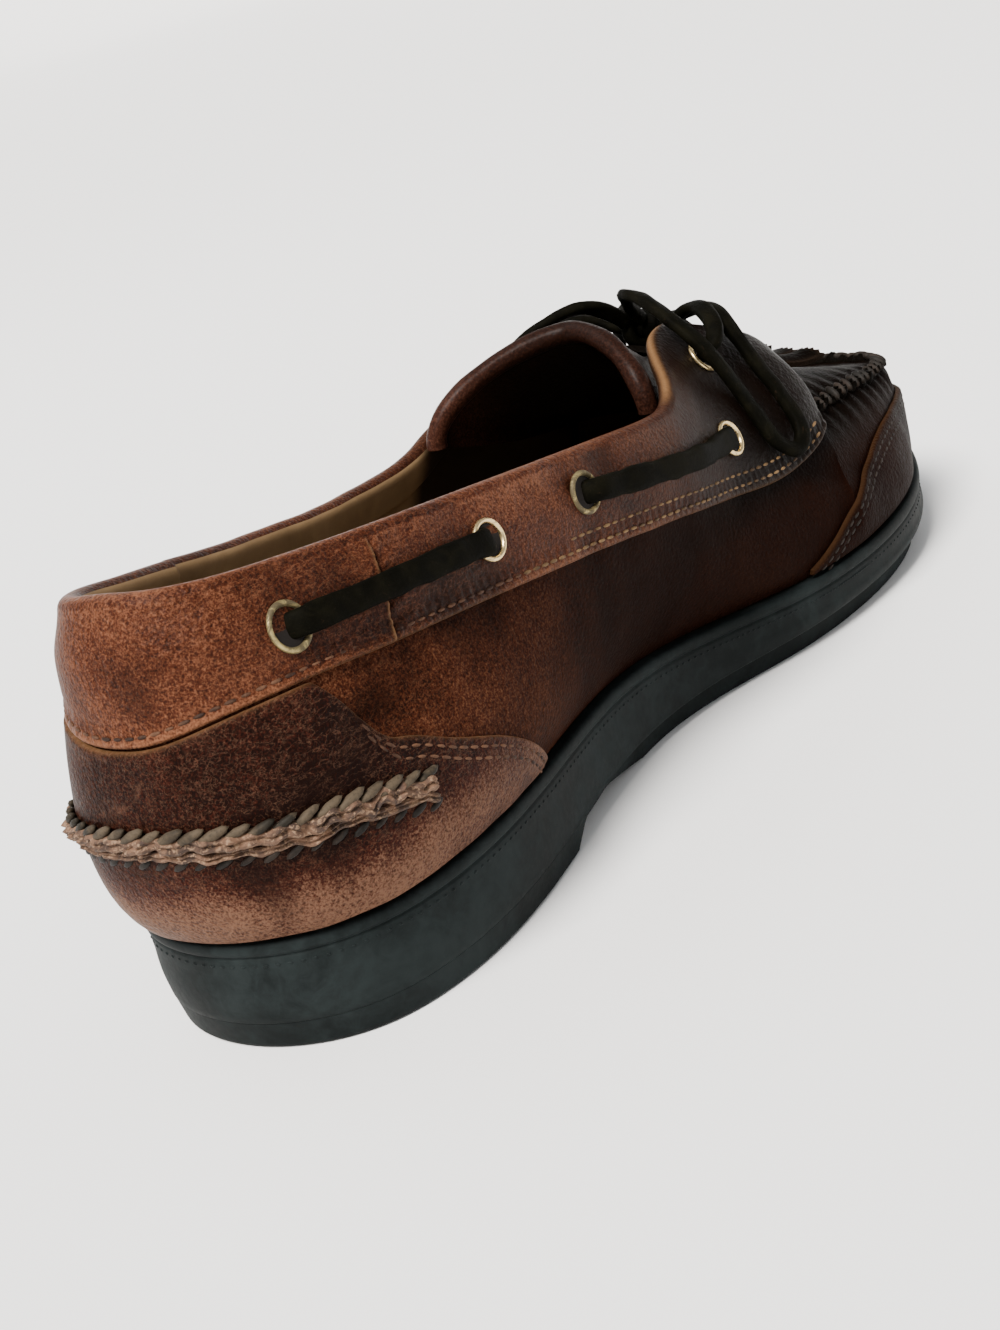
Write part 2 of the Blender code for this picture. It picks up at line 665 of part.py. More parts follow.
def arch(share):
    """Lift of the outsole's underside between heel and forefoot."""
    up = np.clip((share - ARCH_RISE[0]) / (ARCH_RISE[1] - ARCH_RISE[0]), 0, 1)
    down = np.clip((ARCH_FALL[1] - share) / (ARCH_FALL[1] - ARCH_FALL[0]), 0, 1)
    return ARCH_LIFT * np.minimum(up, down)


def make_midsole(finish):
    """The rubber wall with its rounded rim and groove."""
    turns = sole_turns(SOLE_STEPS)
    top = rim_top(turns) * COLLAR_HEIGHT
    foot_plan, _ = outline(turns, WALL_FOOT_INSET)
    rows = [(inset, top - depth) for inset, depth in zip(column(RIM_SIDE, SIDE_COLUMNS, "inset"),
                                                         column(RIM_SIDE, SIDE_COLUMNS, "depth"))]
    rows.append((WALL_FOOT_INSET, lift_at(foot_plan) + TREAD + GAP))
    solid = Solid()
    rings = []
    for inset, level in rows:
        plan, _ = outline(turns, inset)
        rings.append(solid.add(np.column_stack([plan, level])))
    for upper_ring, lower_ring in zip(rings, rings[1:]):
        closed = np.array([np.append(upper_ring, upper_ring[0]),
                           np.append(lower_ring, lower_ring[0])])
        solid.skin(closed)
    solid.cap(rings[0])
    solid.cap(rings[-1])
    return solid.make("midsole", finish)


def tread_inset(share):
    """How far the tread lies inside the wall above it."""
    grown = np.clip((share - INSET_TURNS[0]) / (INSET_TURNS[1] - INSET_TURNS[0]), 0, 1)
    return TREAD_INSET[0] + (TREAD_INSET[1] - TREAD_INSET[0]) * grown * grown * (3 - 2 * grown)


def make_outsole(finish):
    """The tread layer: flat under heel and ball, lifted at the arch, set back at the toe."""
    turns = sole_turns(SOLE_STEPS)
    share = (1 - np.cos(turns)) / 2
    back = TOE_SETBACK * np.clip((share - SETBACK_FROM) / (1 - SETBACK_FROM), 0, 1) ** 2
    inset = tread_inset(share)
    solid = Solid()
    rings = []
    for further, level in (
            (0.0, TREAD),
            (TREAD_TAPER, arch(share) + TREAD_EDGE),
            (TREAD_TAPER + TREAD_EDGE, arch(share))):
        plan, _ = outline(turns, (inset + further)[:, None])
        plan[:, 1] -= back
        rings.append(solid.add(np.column_stack([plan, lift_at(plan) + level])))
    for upper_ring, lower_ring in zip(rings, rings[1:]):
        solid.skin(np.array([np.append(upper_ring, upper_ring[0]),
                             np.append(lower_ring, lower_ring[0])]))
    solid.cap(rings[0])
    solid.cap(rings[-1])
    return solid.make("outsole", finish)


def make_insole(finish):
    """The footbed inside the upper."""
    turns = sole_turns(INSOLE_STEPS)
    plan, _ = outline(turns, INSOLE_INSET)
    floor = rim_top(turns) * COLLAR_HEIGHT + GAP
    solid = Solid()
    low = solid.add(np.column_stack([plan, floor]))
    top = solid.add(np.column_stack([plan, floor + INSOLE_WALL]))
    solid.skin(np.array([np.append(top, top[0]), np.append(low, low[0])]))
    solid.cap(low)
    solid.cap(top)
    return solid.make("insole", finish)


# ---------------------------------------------------------------- the upper
def make_upper(finish):
    """Quarters, vamp wall and plug in one hollow solid, open at collar, throat and underneath."""
    turns = upper_turns()
    seam_from = COLUMNS_BEHIND - 1
    seam_to = len(turns) - seam_from
    ahead = turns[seam_from:seam_from + COLUMNS_AHEAD]
    middle = middle_rise(turns)
    low_share = np.linspace(0, 1, ROWS_BELOW)[:, None]
    high_share = np.linspace(0, 1, ROWS_ABOVE)[1:, None]
    grid_rise = np.concatenate([middle * low_share, middle + (1 - middle) * high_share])
    grid_turn = np.broadcast_to(turns, grid_rise.shape)
    across = np.linspace(0, 1, PLUG_STEPS)
    plug_turn = np.broadcast_to(ahead[:-1, None], (len(ahead) - 1, len(across)))
    plug_across = np.broadcast_to(across, plug_turn.shape)
    solid = Solid()
    numbers = []
    for depth in (0.0, UPPER_WALL):
        normal = wall_normal(grid_turn, grid_rise)
        over = plug_normal(plug_turn, plug_across)
        seam_normal = normal[-1].copy()
        for k in range(len(ahead) - 1):
            for column, end in ((seam_from + k, 0), ((len(turns) - seam_from - k) % len(turns), -1)):
                mean = seam_normal[column] + over[k][end]
                seam_normal[column] = mean / np.linalg.norm(mean)
        tip = seam_normal[seam_from + len(ahead) - 1] + over[-1][len(across) // 2]
        seam_normal[seam_from + len(ahead) - 1] = tip / np.linalg.norm(tip)
        normal[-1] = seam_normal
        skin = solid.add(wall(grid_turn, grid_rise) - normal * depth)
        inside = solid.add((plug(plug_turn, plug_across) - over * depth)[:, 1:-1])
        rows = []
        for k in range(len(ahead) - 1):
            ends = skin[-1][seam_from + k], skin[-1][(len(turns) - seam_from - k) % len(turns)]
            rows.append(np.concatenate([[ends[0]], inside[k], [ends[1]]]))
        toe = skin[-1][seam_from + len(ahead) - 1]
        rows.append(np.full(len(across), toe))
        closed = np.column_stack([skin, skin[:, :1]])
        solid.skin(closed)
        solid.skin(np.array(rows))
        numbers.append((closed, rows[0]))
    outer, inner = numbers
    solid.skin(np.array([outer[0][0], inner[0][0]]))
    collar = [j % len(turns) for j in range(seam_to, len(turns) + seam_from + 1)]
    solid.skin(np.array([outer[0][-1][collar], inner[0][-1][collar]]))
    solid.skin(np.array([outer[1], inner[1]]))
    return solid.make("upper", finish)


# ---------------------------------------------------------------- tongue and kiltie
def arched(rows, along, across, roundness):
    """Points of an arched sheet: place along in rows, across -1 lateral to 1 medial."""
    table = sorted(rows)
    places = column(table, ARCH_COLUMNS, "along")
    crest, half, edge = (spline(places, column(table, ARCH_COLUMNS, name))(along)
                         for name in ("crest", "half", "edge"))
    height = edge + (crest - edge) * (1 - np.abs(across) ** roundness) ** (1 / roundness)
    return np.stack([across * half * BALL_WIDTH, HEEL_BACK + along * SOLE_LENGTH,
                     height * COLLAR_HEIGHT], -1)


def tongue_points(along, across):
    """Points of the tongue: place of the row's middle, across -1 lateral to 1 medial."""
    table = sorted(TONGUE_SECTIONS)
    places = column(table, TONGUE_COLUMNS, "along")
    crest, medial, lateral, edge = (
        spline(places, column(table, TONGUE_COLUMNS, name))(along)
        for name in TONGUE_COLUMNS[1:])
    half = np.where(across > 0, medial, lateral)
    height = edge + (crest - edge) * (1 - np.abs(across) ** TONGUE_ROUND) ** (1 / TONGUE_ROUND)
    bow = np.clip((SWEEP_FROM - along) / (SWEEP_FROM - places[0]), 0, 1) ** 2
    sweep = np.where(across > 0, *TONGUE_SWEEP) * bow * np.abs(across) ** SWEEP_ROUND
    return np.stack([across * half * BALL_WIDTH, HEEL_BACK + along * SOLE_LENGTH - sweep,
                     height * COLLAR_HEIGHT], -1)


def thicken(points, thickness):
    """The same grid moved down by a thickness along the sheet's normals."""
    ahead = np.gradient(points, axis=0)
    over = np.gradient(points, axis=1)
    normal = np.cross(ahead, over)
    normal /= np.linalg.norm(normal, axis=-1, keepdims=True)
    normal *= np.where(normal[..., 2:] < 0, -1, 1)
    return points - normal * np.asarray(thickness)


def make_tongue(finish):
    """The tongue from under the plug to its rolled rim."""
    along = np.linspace(TONGUE_SECTIONS[0][0], TONGUE_SECTIONS[-1][0], TONGUE_STEPS[0])
    angle = np.linspace(-math.pi / 2, math.pi / 2, TONGUE_STEPS[1])
    across = np.sin(angle)
    grid_along, grid_across = np.meshgrid(along, across, indexing="ij")
    outer = tongue_points(grid_along, grid_across)
    roll = np.exp(-((grid_along - along[-1]) / ROLL_REACH) ** 2) * TONGUE_ROLL
    inner = thicken(outer, (TONGUE_WALL + roll)[..., None])
    return slab(outer, inner).make("tongue", finish)


def make_kiltie(finish):
    """The kiltie: a flap with its fringe of strips cut free at the front."""
    flap = np.linspace(KILTIE_SECTIONS[0][0], FRINGE_START, KILTIE_STEPS + 1)
    fringe = np.linspace(FRINGE_START, KILTIE_SECTIONS[-1][0], KILTIE_STEPS + 1)
    along = np.concatenate([flap, fringe[1:]])
    half = KILTIE_SECTIONS[-2][2] * BALL_WIDTH
    cut = FRINGE_CUT / half
    strip = (2 - (FRINGE_STRIPS - 1) * cut) / FRINGE_STRIPS
    across = [-1.0]
    keep_row = []
    for i in range(FRINGE_STRIPS):
        across.append(across[-1] + strip)
        keep_row.append(True)
        if i < FRINGE_STRIPS - 1:
            across.append(across[-1] + cut)
            keep_row.append(False)
    across[-1] = 1.0
    grid_along, grid_across = np.meshgrid(along, np.array(across), indexing="ij")
    keep = np.ones((len(along) - 1, len(keep_row)), bool)
    keep[KILTIE_STEPS:] = keep_row
    outer = arched(KILTIE_SECTIONS, grid_along, KILTIE_REACH * grid_across, KILTIE_ROUND)
    inner = thicken(outer, KILTIE_WALL)
    return slab(outer, inner, keep).make("kiltie", finish)


# ---------------------------------------------------------------- raised seams, eyelets, laces
def tube(path, side, up, sides=8, flat=1.0):
    """A closed tube along a path, with its cross-section's two directions at each point."""
    solid = Solid()
    angles = 2 * math.pi * np.arange(sides) / sides
    ring = (np.cos(angles)[None, :, None] * side[:, None, :]
            + np.sin(angles)[None, :, None] * up[:, None, :] * flat)
    numbers = solid.add(path[:, None, :] + ring)
    solid.skin(np.column_stack([numbers, numbers[:, :1]]))
    solid.face(numbers[0])
    solid.face(numbers[-1][::-1])
    return solid


def ridge(name, finish, path, normal, radius):
    """A raised seam: a tube that follows a line on the upper."""
    ahead = np.gradient(path, axis=0)
    ahead /= np.linalg.norm(ahead, axis=1, keepdims=True)
    side = np.cross(ahead, normal)
    side /= np.linalg.norm(side, axis=1, keepdims=True)
    up = np.cross(side, ahead)
    return tube(path, side * radius, up * radius, sides=6).make(name, finish)


def make_moc_seam(finish):
    """The whipped seam between wall and plug, from one tab round the toe to the other."""
    first = SEAM_TURN + MOC_SEAM_START
    turns = even_turns(first, 2 * math.pi - first, MOC_SEAM_STEPS)
    normal = wall_normal(turns, np.full_like(turns, 0.97))
    medial = np.where(turns <= math.pi, turns, 2 * math.pi - turns)
    over = plug_normal(medial, np.where(turns <= math.pi, 0.02, 0.98))
    normal = normal + over
    normal /= np.linalg.norm(normal, axis=1, keepdims=True)
    path = top_edge(turns) + normal * (SEAM_RADIUS + GAP)
    return ridge("moc_seam", finish, path, normal, SEAM_RADIUS)


def make_heel_braid(finish):
    """The whipped seam round the heel, on the counter."""
    front = float(turn_of(HEEL_SEAM_FRONT))
    turns = even_turns(-front, front, HEEL_SEAM_STEPS)
    rises = rise_at(turns, line_height(HEEL_SEAM, turns))
    normal = wall_normal(turns, rises)
    lift = GAP + OVERLAY_WALL + GAP + SEAM_RADIUS
    return ridge("heel_braid", finish, wall(turns, rises) + normal * lift, normal, SEAM_RADIUS)


def eyelet_seat(row, side):
    """Centre of an eyelet on the band's outer face, with the face's normal."""
    turn = np.atleast_1d(turn_of(row[0]) * side)
    rise = rise_at(turn, row[1] * COLLAR_HEIGHT - side_drop(turn))
    normal = wall_normal(turn, rise)[0]
    return wall(turn, rise)[0] + normal * (GAP + OVERLAY_WALL), normal


def frame_of(normal):
    """Two directions square to a normal, the first level."""
    level = np.cross((0.0, 0.0, 1.0), normal)
    level /= np.linalg.norm(level)
    return level, np.cross(normal, level)


def make_eyelet(name, finish, seat, normal):
    """A turned brass ring that lies on the band."""
    level, up = frame_of(normal)
    angles = 2 * math.pi * np.arange(EYELET_SIDES) / EYELET_SIDES
    spoke = np.cos(angles)[:, None] * level + np.sin(angles)[:, None] * up
    section = ((EYELET_OUTER, EYELET_SEAT), (EYELET_OUTER - EYELET_ROUND, EYELET_PROUD),
               (EYELET_BORE + EYELET_ROUND, EYELET_PROUD), (EYELET_BORE, EYELET_SEAT))
    solid = Solid()
    rings = [solid.add(seat + spoke * radius + normal * lift) for radius, lift in section]
    rings.append(rings[0])
    rows = np.array([np.append(ring, ring[0]) for ring in rings])
    solid.skin(rows)
    return solid.make(name, finish)


def make_lace_bar(name, finish, row_from, row_to, side):
    """The stretch of lace outside the band between two eyelets."""
    share = np.array(BAR_SHARES)[:, None]
    rise = LACE / 2 + BAR_SEAT + BAR_RISE * np.sin(math.pi * share) ** 0.25
    foot_turns = turn_of(row_from[0] + (row_to[0] - row_from[0]) * share[:, 0]) * side
    heights = (row_from[1] + (row_to[1] - row_from[1]) * share[:, 0]) * COLLAR_HEIGHT
    heights = heights - side_drop(foot_turns)
    rises = rise_at(foot_turns, heights)
    base = on_wall(foot_turns, rises, GAP + OVERLAY_WALL)
    normal = wall_normal(foot_turns, rises)
    path = base + normal * rise
    ahead = np.gradient(path, axis=0)
    ahead /= np.linalg.norm(ahead, axis=1, keepdims=True)
    across = np.cross(normal, ahead)
    return tube(path, across * LACE / 2, normal * LACE / 2, flat=0.8).make(name, finish)


def through(route, spacing):
    """Points at an even spacing along one smooth curve through a route's points."""
    route = np.array(route) * MM
    reach = np.concatenate([[0], np.cumsum(np.linalg.norm(np.diff(route, axis=0), axis=1))])
    smooth = [spline(reach, route[:, axis]) for axis in range(3)]
    fine = np.linspace(0, reach[-1], 400)
    points = np.column_stack([axis(fine) for axis in smooth])
    length = np.concatenate([[0], np.cumsum(np.linalg.norm(np.diff(points, axis=0), axis=1))])
    count = max(3, round(length[-1] / spacing) + 1)
    at = np.interp(np.linspace(0, length[-1], count), length, fine)
    return np.column_stack([axis(at) for axis in smooth])


def make_cord(name, finish, route):
    """A stretch of lace as a round cord."""
    curve = bpy.data.curves.new(name, "CURVE")
    curve.dimensions = "3D"
    curve.bevel_depth = LACE / 2
    curve.bevel_resolution = LACE_BEVEL_STEPS
    curve.use_fill_caps = True
    points = through(route, CORD_SPACING)
    line = curve.splines.new("POLY")
    line.points.add(len(points) - 1)
    for made, point in zip(line.points, points):
        made.co = (*point, 1.0)
    curve.materials.append(finish)
    made = bpy.data.objects.new(name, curve)
    bpy.context.scene.collection.objects.link(made)
    return made


def make_knot(finish):
    """The crossing over the tongue from eyelet to eyelet, with the knot's two wraps fused on."""
    medial, medial_normal = eyelet_seat(EYELETS[-1], 1)
    lateral, lateral_normal = eyelet_seat(EYELETS[-1], -1)
    start = (medial + medial_normal * KNOT_END_LIFT) / MM
    end = (lateral + lateral_normal * KNOT_END_LIFT) / MM
    path = through((start, *CROSSING_ROUTE, end), 1.4 * LACE)
    ahead = np.gradient(path, axis=0)
    ahead /= np.linalg.norm(ahead, axis=1, keepdims=True)
    side = np.cross(ahead, (0.0, 0.0, 1.0))
    side /= np.linalg.norm(side, axis=1, keepdims=True)
    knot = tube(path, side * LACE / 2, np.cross(side, ahead) * LACE / 2).make("lace_knot", finish)
    centre = np.array(CROSSING_ROUTE[2]) * MM
    angles = np.linspace(0, 2 * math.pi, 13)[:-1]
    for number, (place, tilt) in enumerate(KNOT_WRAPS):
        lean = math.radians(tilt)
        axis = np.array([math.cos(lean), math.sin(lean), 0.0])
        spoke = (np.cos(angles)[:, None] * np.array([-axis[1], axis[0], 0.0])
                 + np.sin(angles)[:, None] * np.array([0.0, 0.0, 1.0]))
        middle = centre + np.array([place * MM, 0.0, 0.0])
        solid = Solid()
        round_it = 2 * math.pi * np.arange(6) / 6
        rings = solid.add(middle + spoke[:, None, :] * KNOT_RADIUS + LACE / 2 * (
            np.cos(round_it)[None, :, None] * spoke[:, None, :]
            + np.sin(round_it)[None, :, None] * axis))
        rings = np.column_stack([rings, rings[:, :1]])
        solid.skin(np.concatenate([rings, rings[:1]]))
        wrap = solid.make(f"wrap_guide_{number}", finish)
        wrap.hide_render = True
        wrap.display_type = "WIRE"
        fuse = knot.modifiers.new(f"wrap_{number}", "BOOLEAN")
        fuse.operation = "UNION"
        fuse.solver = "EXACT"
        fuse.object = wrap
    return knot


# ================ build
def clear_scene():
    """Removes what the new scene came with."""
    for made in list(bpy.data.objects):
        bpy.data.objects.remove(made)


def build():
    """Every piece of the shoe."""
    rubber = finish_of("black_rubber", (0.012, 0.015, 0.016), 0.55)
    tread = finish_of("tread_rubber", (0.010, 0.012, 0.012), 0.65)
    leather = finish_of("brown_leather", (0.115, 0.040, 0.022), 0.45)
    trim = finish_of("overlay_leather", (0.135, 0.050, 0.028), 0.42)
    dark = finish_of("tongue_leather", (0.070, 0.018, 0.014), 0.35)
    fringe = finish_of("kiltie_leather", (0.020, 0.014, 0.012), 0.40)
    whip = finish_of("whipped_seam", (0.050, 0.035, 0.024), 0.60)
    bed = finish_of("footbed", (0.100, 0.075, 0.045), 0.80)
    brass = finish_of("antique_brass", (0.280, 0.200, 0.090), 0.35, 1.0)
    rawhide = finish_of("rawhide_lace", (0.022, 0.012, 0.009), 0.45)

    make_outsole(tread)
    make_midsole(rubber)
    make_insole(bed)
    make_upper(leather)
    make_tongue(dark)

    turns = columns_between(-BAND_END, BAND_END)
    make_overlay("collar_band", trim, turns, rise_at(turns, band_seam(turns)),
                 np.ones_like(turns), ROWS_ABOVE)
    front = float(turn_of(COUNTER_FRONT))
    corners = turn_of(COUNTER_CORNERS)
    turns = np.sort(np.concatenate([columns_between(-front, front), corners, -corners]))
    low = rise_at(turns, rim_top(turns) * COLLAR_HEIGHT + COUNTER_FOOT)
    edge = np.minimum(line_height(COUNTER_EDGE, turns), band_seam(turns) - COUNTER_BELOW_BAND)
    high = rise_at(turns, edge)
    make_overlay("heel_counter", trim, turns, low, high, 6, COUNTER_LIFT)
    start = float(turn_of(GUARD_START))
    turns = columns_between(start, 2 * math.pi - start)
    low = rise_at(turns, rim_top(turns) * COLLAR_HEIGHT + GUARD_FOOT)
    high = rise_at(turns, line_height(GUARD_EDGE, turns))
    make_overlay("toe_guard", trim, turns, low, high, 5)

    make_moc_seam(whip)
    make_heel_braid(whip)
    make_kiltie(fringe)
    for side_name, side in (("medial", 1), ("lateral", -1)):
        for number, row in enumerate(EYELETS, 1):
            seat, normal = eyelet_seat(row, side)
            make_eyelet(f"eyelet_{side_name}_{number}", brass, seat, normal)
        make_lace_bar(f"lace_{side_name}_rear", rawhide, EYELETS[0], EYELETS[1], side)
        make_lace_bar(f"lace_{side_name}_front", rawhide, EYELETS[2], EYELETS[3], side)
    make_knot(rawhide)
    make_cord("lace_loop_medial", rawhide, MEDIAL_LOOP_ROUTE)
    make_cord("lace_loop_lateral", rawhide, LATERAL_LOOP_ROUTE)
    make_cord("lace_end", rawhide, END_ROUTE)
    make_cord("lace_end_front", rawhide, FRONT_END_ROUTE)


clear_scene()
build()
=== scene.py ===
import math

import bmesh
import bpy
import numpy as np
from mathutils import Matrix, Vector


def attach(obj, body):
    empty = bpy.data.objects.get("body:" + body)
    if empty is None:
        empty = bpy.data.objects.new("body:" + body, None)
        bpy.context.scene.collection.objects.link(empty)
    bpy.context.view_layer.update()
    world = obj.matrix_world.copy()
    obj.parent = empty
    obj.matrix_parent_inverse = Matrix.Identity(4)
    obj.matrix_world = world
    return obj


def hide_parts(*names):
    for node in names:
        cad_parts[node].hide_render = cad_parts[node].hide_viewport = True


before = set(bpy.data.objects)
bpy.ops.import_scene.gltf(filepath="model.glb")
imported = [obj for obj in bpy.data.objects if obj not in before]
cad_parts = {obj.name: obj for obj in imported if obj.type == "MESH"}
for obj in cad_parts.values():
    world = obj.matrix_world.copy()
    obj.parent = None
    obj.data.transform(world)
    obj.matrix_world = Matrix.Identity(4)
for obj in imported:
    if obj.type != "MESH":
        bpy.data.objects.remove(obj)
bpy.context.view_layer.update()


# ---------------------------------------------------------------- driving sizes
MM = 0.001
SOLE_LENGTH = 296 * MM
BALL_WIDTH = 98 * MM
COLLAR_HEIGHT = 95 * MM
HEEL_BACK = -36 * MM          # the sole's rear end, from the origin

GAP = 0.3 * MM                # clearance where two curved pieces meet
UPPER_WALL = 2.2 * MM         # leather and lining together
OVERLAY_WALL = 1.4 * MM       # the leather of counter, guard and eyestays
RIM_WIDTH = 3.0 * MM          # the sole's rim that shows round the upper
SMALL = 1e-3                  # step in turn or rise over which a direction is taken

# ---------------------------------------------------------------- the sole
# along, half widths of the rim to each side, height of the sole's top, lift of its underside
SOLE_COLUMNS = ("along", "medial", "lateral", "top", "lift")
SOLE_SECTIONS = (
    (0.014, 0.180, 0.180, 0.253, 0.000),
    (0.044, 0.290, 0.290, 0.253, 0.000),
    (0.095, 0.358, 0.362, 0.253, 0.000),
    (0.170, 0.378, 0.388, 0.253, 0.000),
    (0.255, 0.348, 0.394, 0.250, 0.000),
    (0.340, 0.302, 0.406, 0.244, 0.000),
    (0.430, 0.280, 0.428, 0.230, 0.000),
    (0.520, 0.324, 0.468, 0.204, 0.000),
    (0.605, 0.418, 0.500, 0.184, 0.000),
    (0.690, 0.474, 0.514, 0.174, 0.000),
    (0.770, 0.485, 0.496, 0.174, 0.002),
    (0.845, 0.452, 0.438, 0.183, 0.009),
    (0.910, 0.374, 0.332, 0.200, 0.020),
    (0.960, 0.268, 0.196, 0.218, 0.031),
    (0.990, 0.150, 0.062, 0.230, 0.038),
)
TOE_TIP_SIDE = 0.045          # the toe's tip lies this far to the medial side
HEEL_TIP_TOP = 0.253
TOE_TIP_TOP = 0.234
TOE_TIP_LIFT = 0.040

# ---------------------------------------------------------------- the upper's top edge
# foot: where the wall's line starts on the sole; then where it ends, with its height to each side
EDGE_COLUMNS = ("foot", "along", "medial", "lateral", "height", "lateral_height")
COLLAR_EDGE = (
    (0.000, 0.0150, 0.000, 0.000, 1.000, 1.000),
    (0.014, 0.0200, 0.095, 0.095, 0.998, 0.990),
    (0.044, 0.0455, 0.178, 0.178, 0.987, 0.969),
    (0.095, 0.0950, 0.230, 0.230, 0.966, 0.934),
    (0.170, 0.1700, 0.270, 0.270, 0.934, 0.882),
    (0.255, 0.2550, 0.302, 0.298, 0.899, 0.827),
    (0.340, 0.3400, 0.328, 0.320, 0.863, 0.784),
    (0.430, 0.4320, 0.350, 0.340, 0.824, 0.758),
    (0.485, 0.4900, 0.350, 0.345, 0.800, 0.768),
)
TAB_EDGE = (
    (0.525, 0.5300, 0.320, 0.320, 0.804, 0.804),
    (0.555, 0.5620, 0.255, 0.255, 0.838, 0.838),
    (0.582, 0.5930, 0.190, 0.190, 0.873, 0.873),
    (0.608, 0.6230, 0.153, 0.153, 0.889, 0.889),
    (0.632, 0.6540, 0.148, 0.148, 0.876, 0.876),
    (0.654, 0.6860, 0.180, 0.180, 0.832, 0.832),
    (0.672, 0.7160, 0.228, 0.228, 0.777, 0.777),
    (0.687, 0.7340, 0.270, 0.270, 0.695, 0.688),
    (0.698, 0.7320, 0.314, 0.318, 0.600, 0.585),
    (0.706, 0.7200, 0.350, 0.355, 0.526, 0.508),
)
MOC_SEAM_EDGE = (
    TAB_EDGE[-1],
    (0.768, 0.7740, 0.340, 0.354, 0.515, 0.479),
    (0.845, 0.8440, 0.330, 0.334, 0.494, 0.450),
    (0.914, 0.9050, 0.306, 0.282, 0.472, 0.434),
    (0.962, 0.9470, 0.248, 0.192, 0.457, 0.428),
    (0.990, 0.9720, 0.136, 0.072, 0.446, 0.436),
    (1.000, 0.9790, 0.030, -0.030, 0.441, 0.441),
)
SEAM_START = TAB_EDGE[-1][0]  # foot of the column where tab, wall and plug meet

# handles of each wall line: out and up at its foot, out and down at its top, as shares of
# COLLAR_HEIGHT
WALL_COLUMNS = ("foot", "foot_out", "foot_up", "top_out", "top_down")
WALL_SHAPE = (
    (0.000, 0.150, 0.085, 0.065, 0.240),
    (0.170, 0.125, 0.100, 0.060, 0.220),
    (0.340, 0.125, 0.120, 0.055, 0.180),
    (0.430, 0.120, 0.130, 0.065, 0.170),
    (0.520, 0.100, 0.140, 0.090, 0.150),
    (0.600, 0.090, 0.140, 0.150, 0.110),
    (0.680, 0.070, 0.120, 0.110, 0.080),
    (0.760, 0.045, 0.105, 0.070, 0.045),
    (0.900, 0.022, 0.080, 0.055, 0.030),
    (1.000, 0.035, 0.070, 0.060, 0.020),
)

PLUG_SHOULDER = 0.42          # how far in towards the middle the plug's handles reach
HANDLE_LIFT = 0.75            # share of its handles' height that the plug's middle reaches

# the plug's ridge between the seams: foot of the seam columns, height of the middle
CREST_COLUMNS = ("foot", "height", "forward")
PLUG_CREST = (
    (0.706, 0.745, -0.020),
    (0.745, 0.692, -0.012),
    (0.800, 0.617, -0.006),
    (0.850, 0.557, 0.000),
    (0.880, 0.527, 0.000),
    (0.910, 0.499, 0.000),
    (0.950, 0.469, 0.000),
    (0.978, 0.453, 0.000),
    (1.000, 0.444, 0.000),
)


def column(rows, names, name):
    """One named column of a table."""
    place = names.index(name)
    return [row[place] for row in rows]


def spline(knots, values):
    """Natural cubic spline through rows of values, as a function of a number or an array."""
    knots = np.asarray(knots, float)
    values = np.asarray(values, float)
    count = len(knots)
    step = np.diff(knots)
    system = np.eye(count)
    right = np.zeros(count)
    slope = np.diff(values) / step
    for i in range(1, count - 1):
        system[i, i - 1:i + 2] = step[i - 1], 2 * (step[i - 1] + step[i]), step[i]
        right[i] = 6 * (slope[i] - slope[i - 1])
    bend = np.linalg.solve(system, right)

    def value(at):
        at = np.asarray(at, float)
        i = np.clip(np.searchsorted(knots, at) - 1, 0, count - 2)
        width = step[i]
        a = (knots[i + 1] - at) / width
        b = (at - knots[i]) / width
        cubic = ((a ** 3 - a) * bend[i] + (b ** 3 - b) * bend[i + 1]) * width ** 2 / 6
        return a * values[i] + b * values[i + 1] + cubic
    return value


def turn_of(share):
    """The angle round the sole, 0 at the heel's back and pi at the toe, of a station."""
    return np.arccos(1 - 2 * np.clip(np.asarray(share, float), 0, 1))


def share_of(turns):
    """Share of the sole's length of each column's foot."""
    return (1 - np.cos(turns)) / 2


def lengths_along(points):
    """Distance along a line of points, from its first."""
    return np.concatenate([[0], np.cumsum(np.linalg.norm(np.diff(points, axis=0), axis=1))])


def circle(count):
    """Even angles once round."""
    return np.linspace(0, 2 * math.pi, count + 1)[:-1]


def in_place(side, along, height):
    """Points from shares of the shoe's width, length and height."""
    return np.stack([side * BALL_WIDTH, HEEL_BACK + along * SOLE_LENGTH,
                     height * COLLAR_HEIGHT], -1)


def swept(first, low, high, last, share):
    """Points of the curve from first to last with handles at low and high."""
    rest = 1 - share
    return (rest ** 3 * first + 3 * rest ** 2 * share * low
            + 3 * rest * share ** 2 * high + share ** 3 * last)


def ring_spline(rows, columns, medial, lateral, ends):
    """Spline round the whole sole from -pi to 3 pi, so that both ends run through smoothly."""
    inner = [row for row in rows if 0 < row[0] < 1]
    angles = turn_of([row[0] for row in inner])
    near = column(inner, columns, medial)
    far = [ends[2] * value for value in column(inner, columns, lateral)]
    angles = np.concatenate([[0], angles, [math.pi], 2 * math.pi - angles[::-1]])
    values = np.array([ends[0], *near, ends[1], *far[::-1]])
    around = np.concatenate([angles - 2 * math.pi, angles, angles + 2 * math.pi])
    return spline(around, np.tile(values, 3))


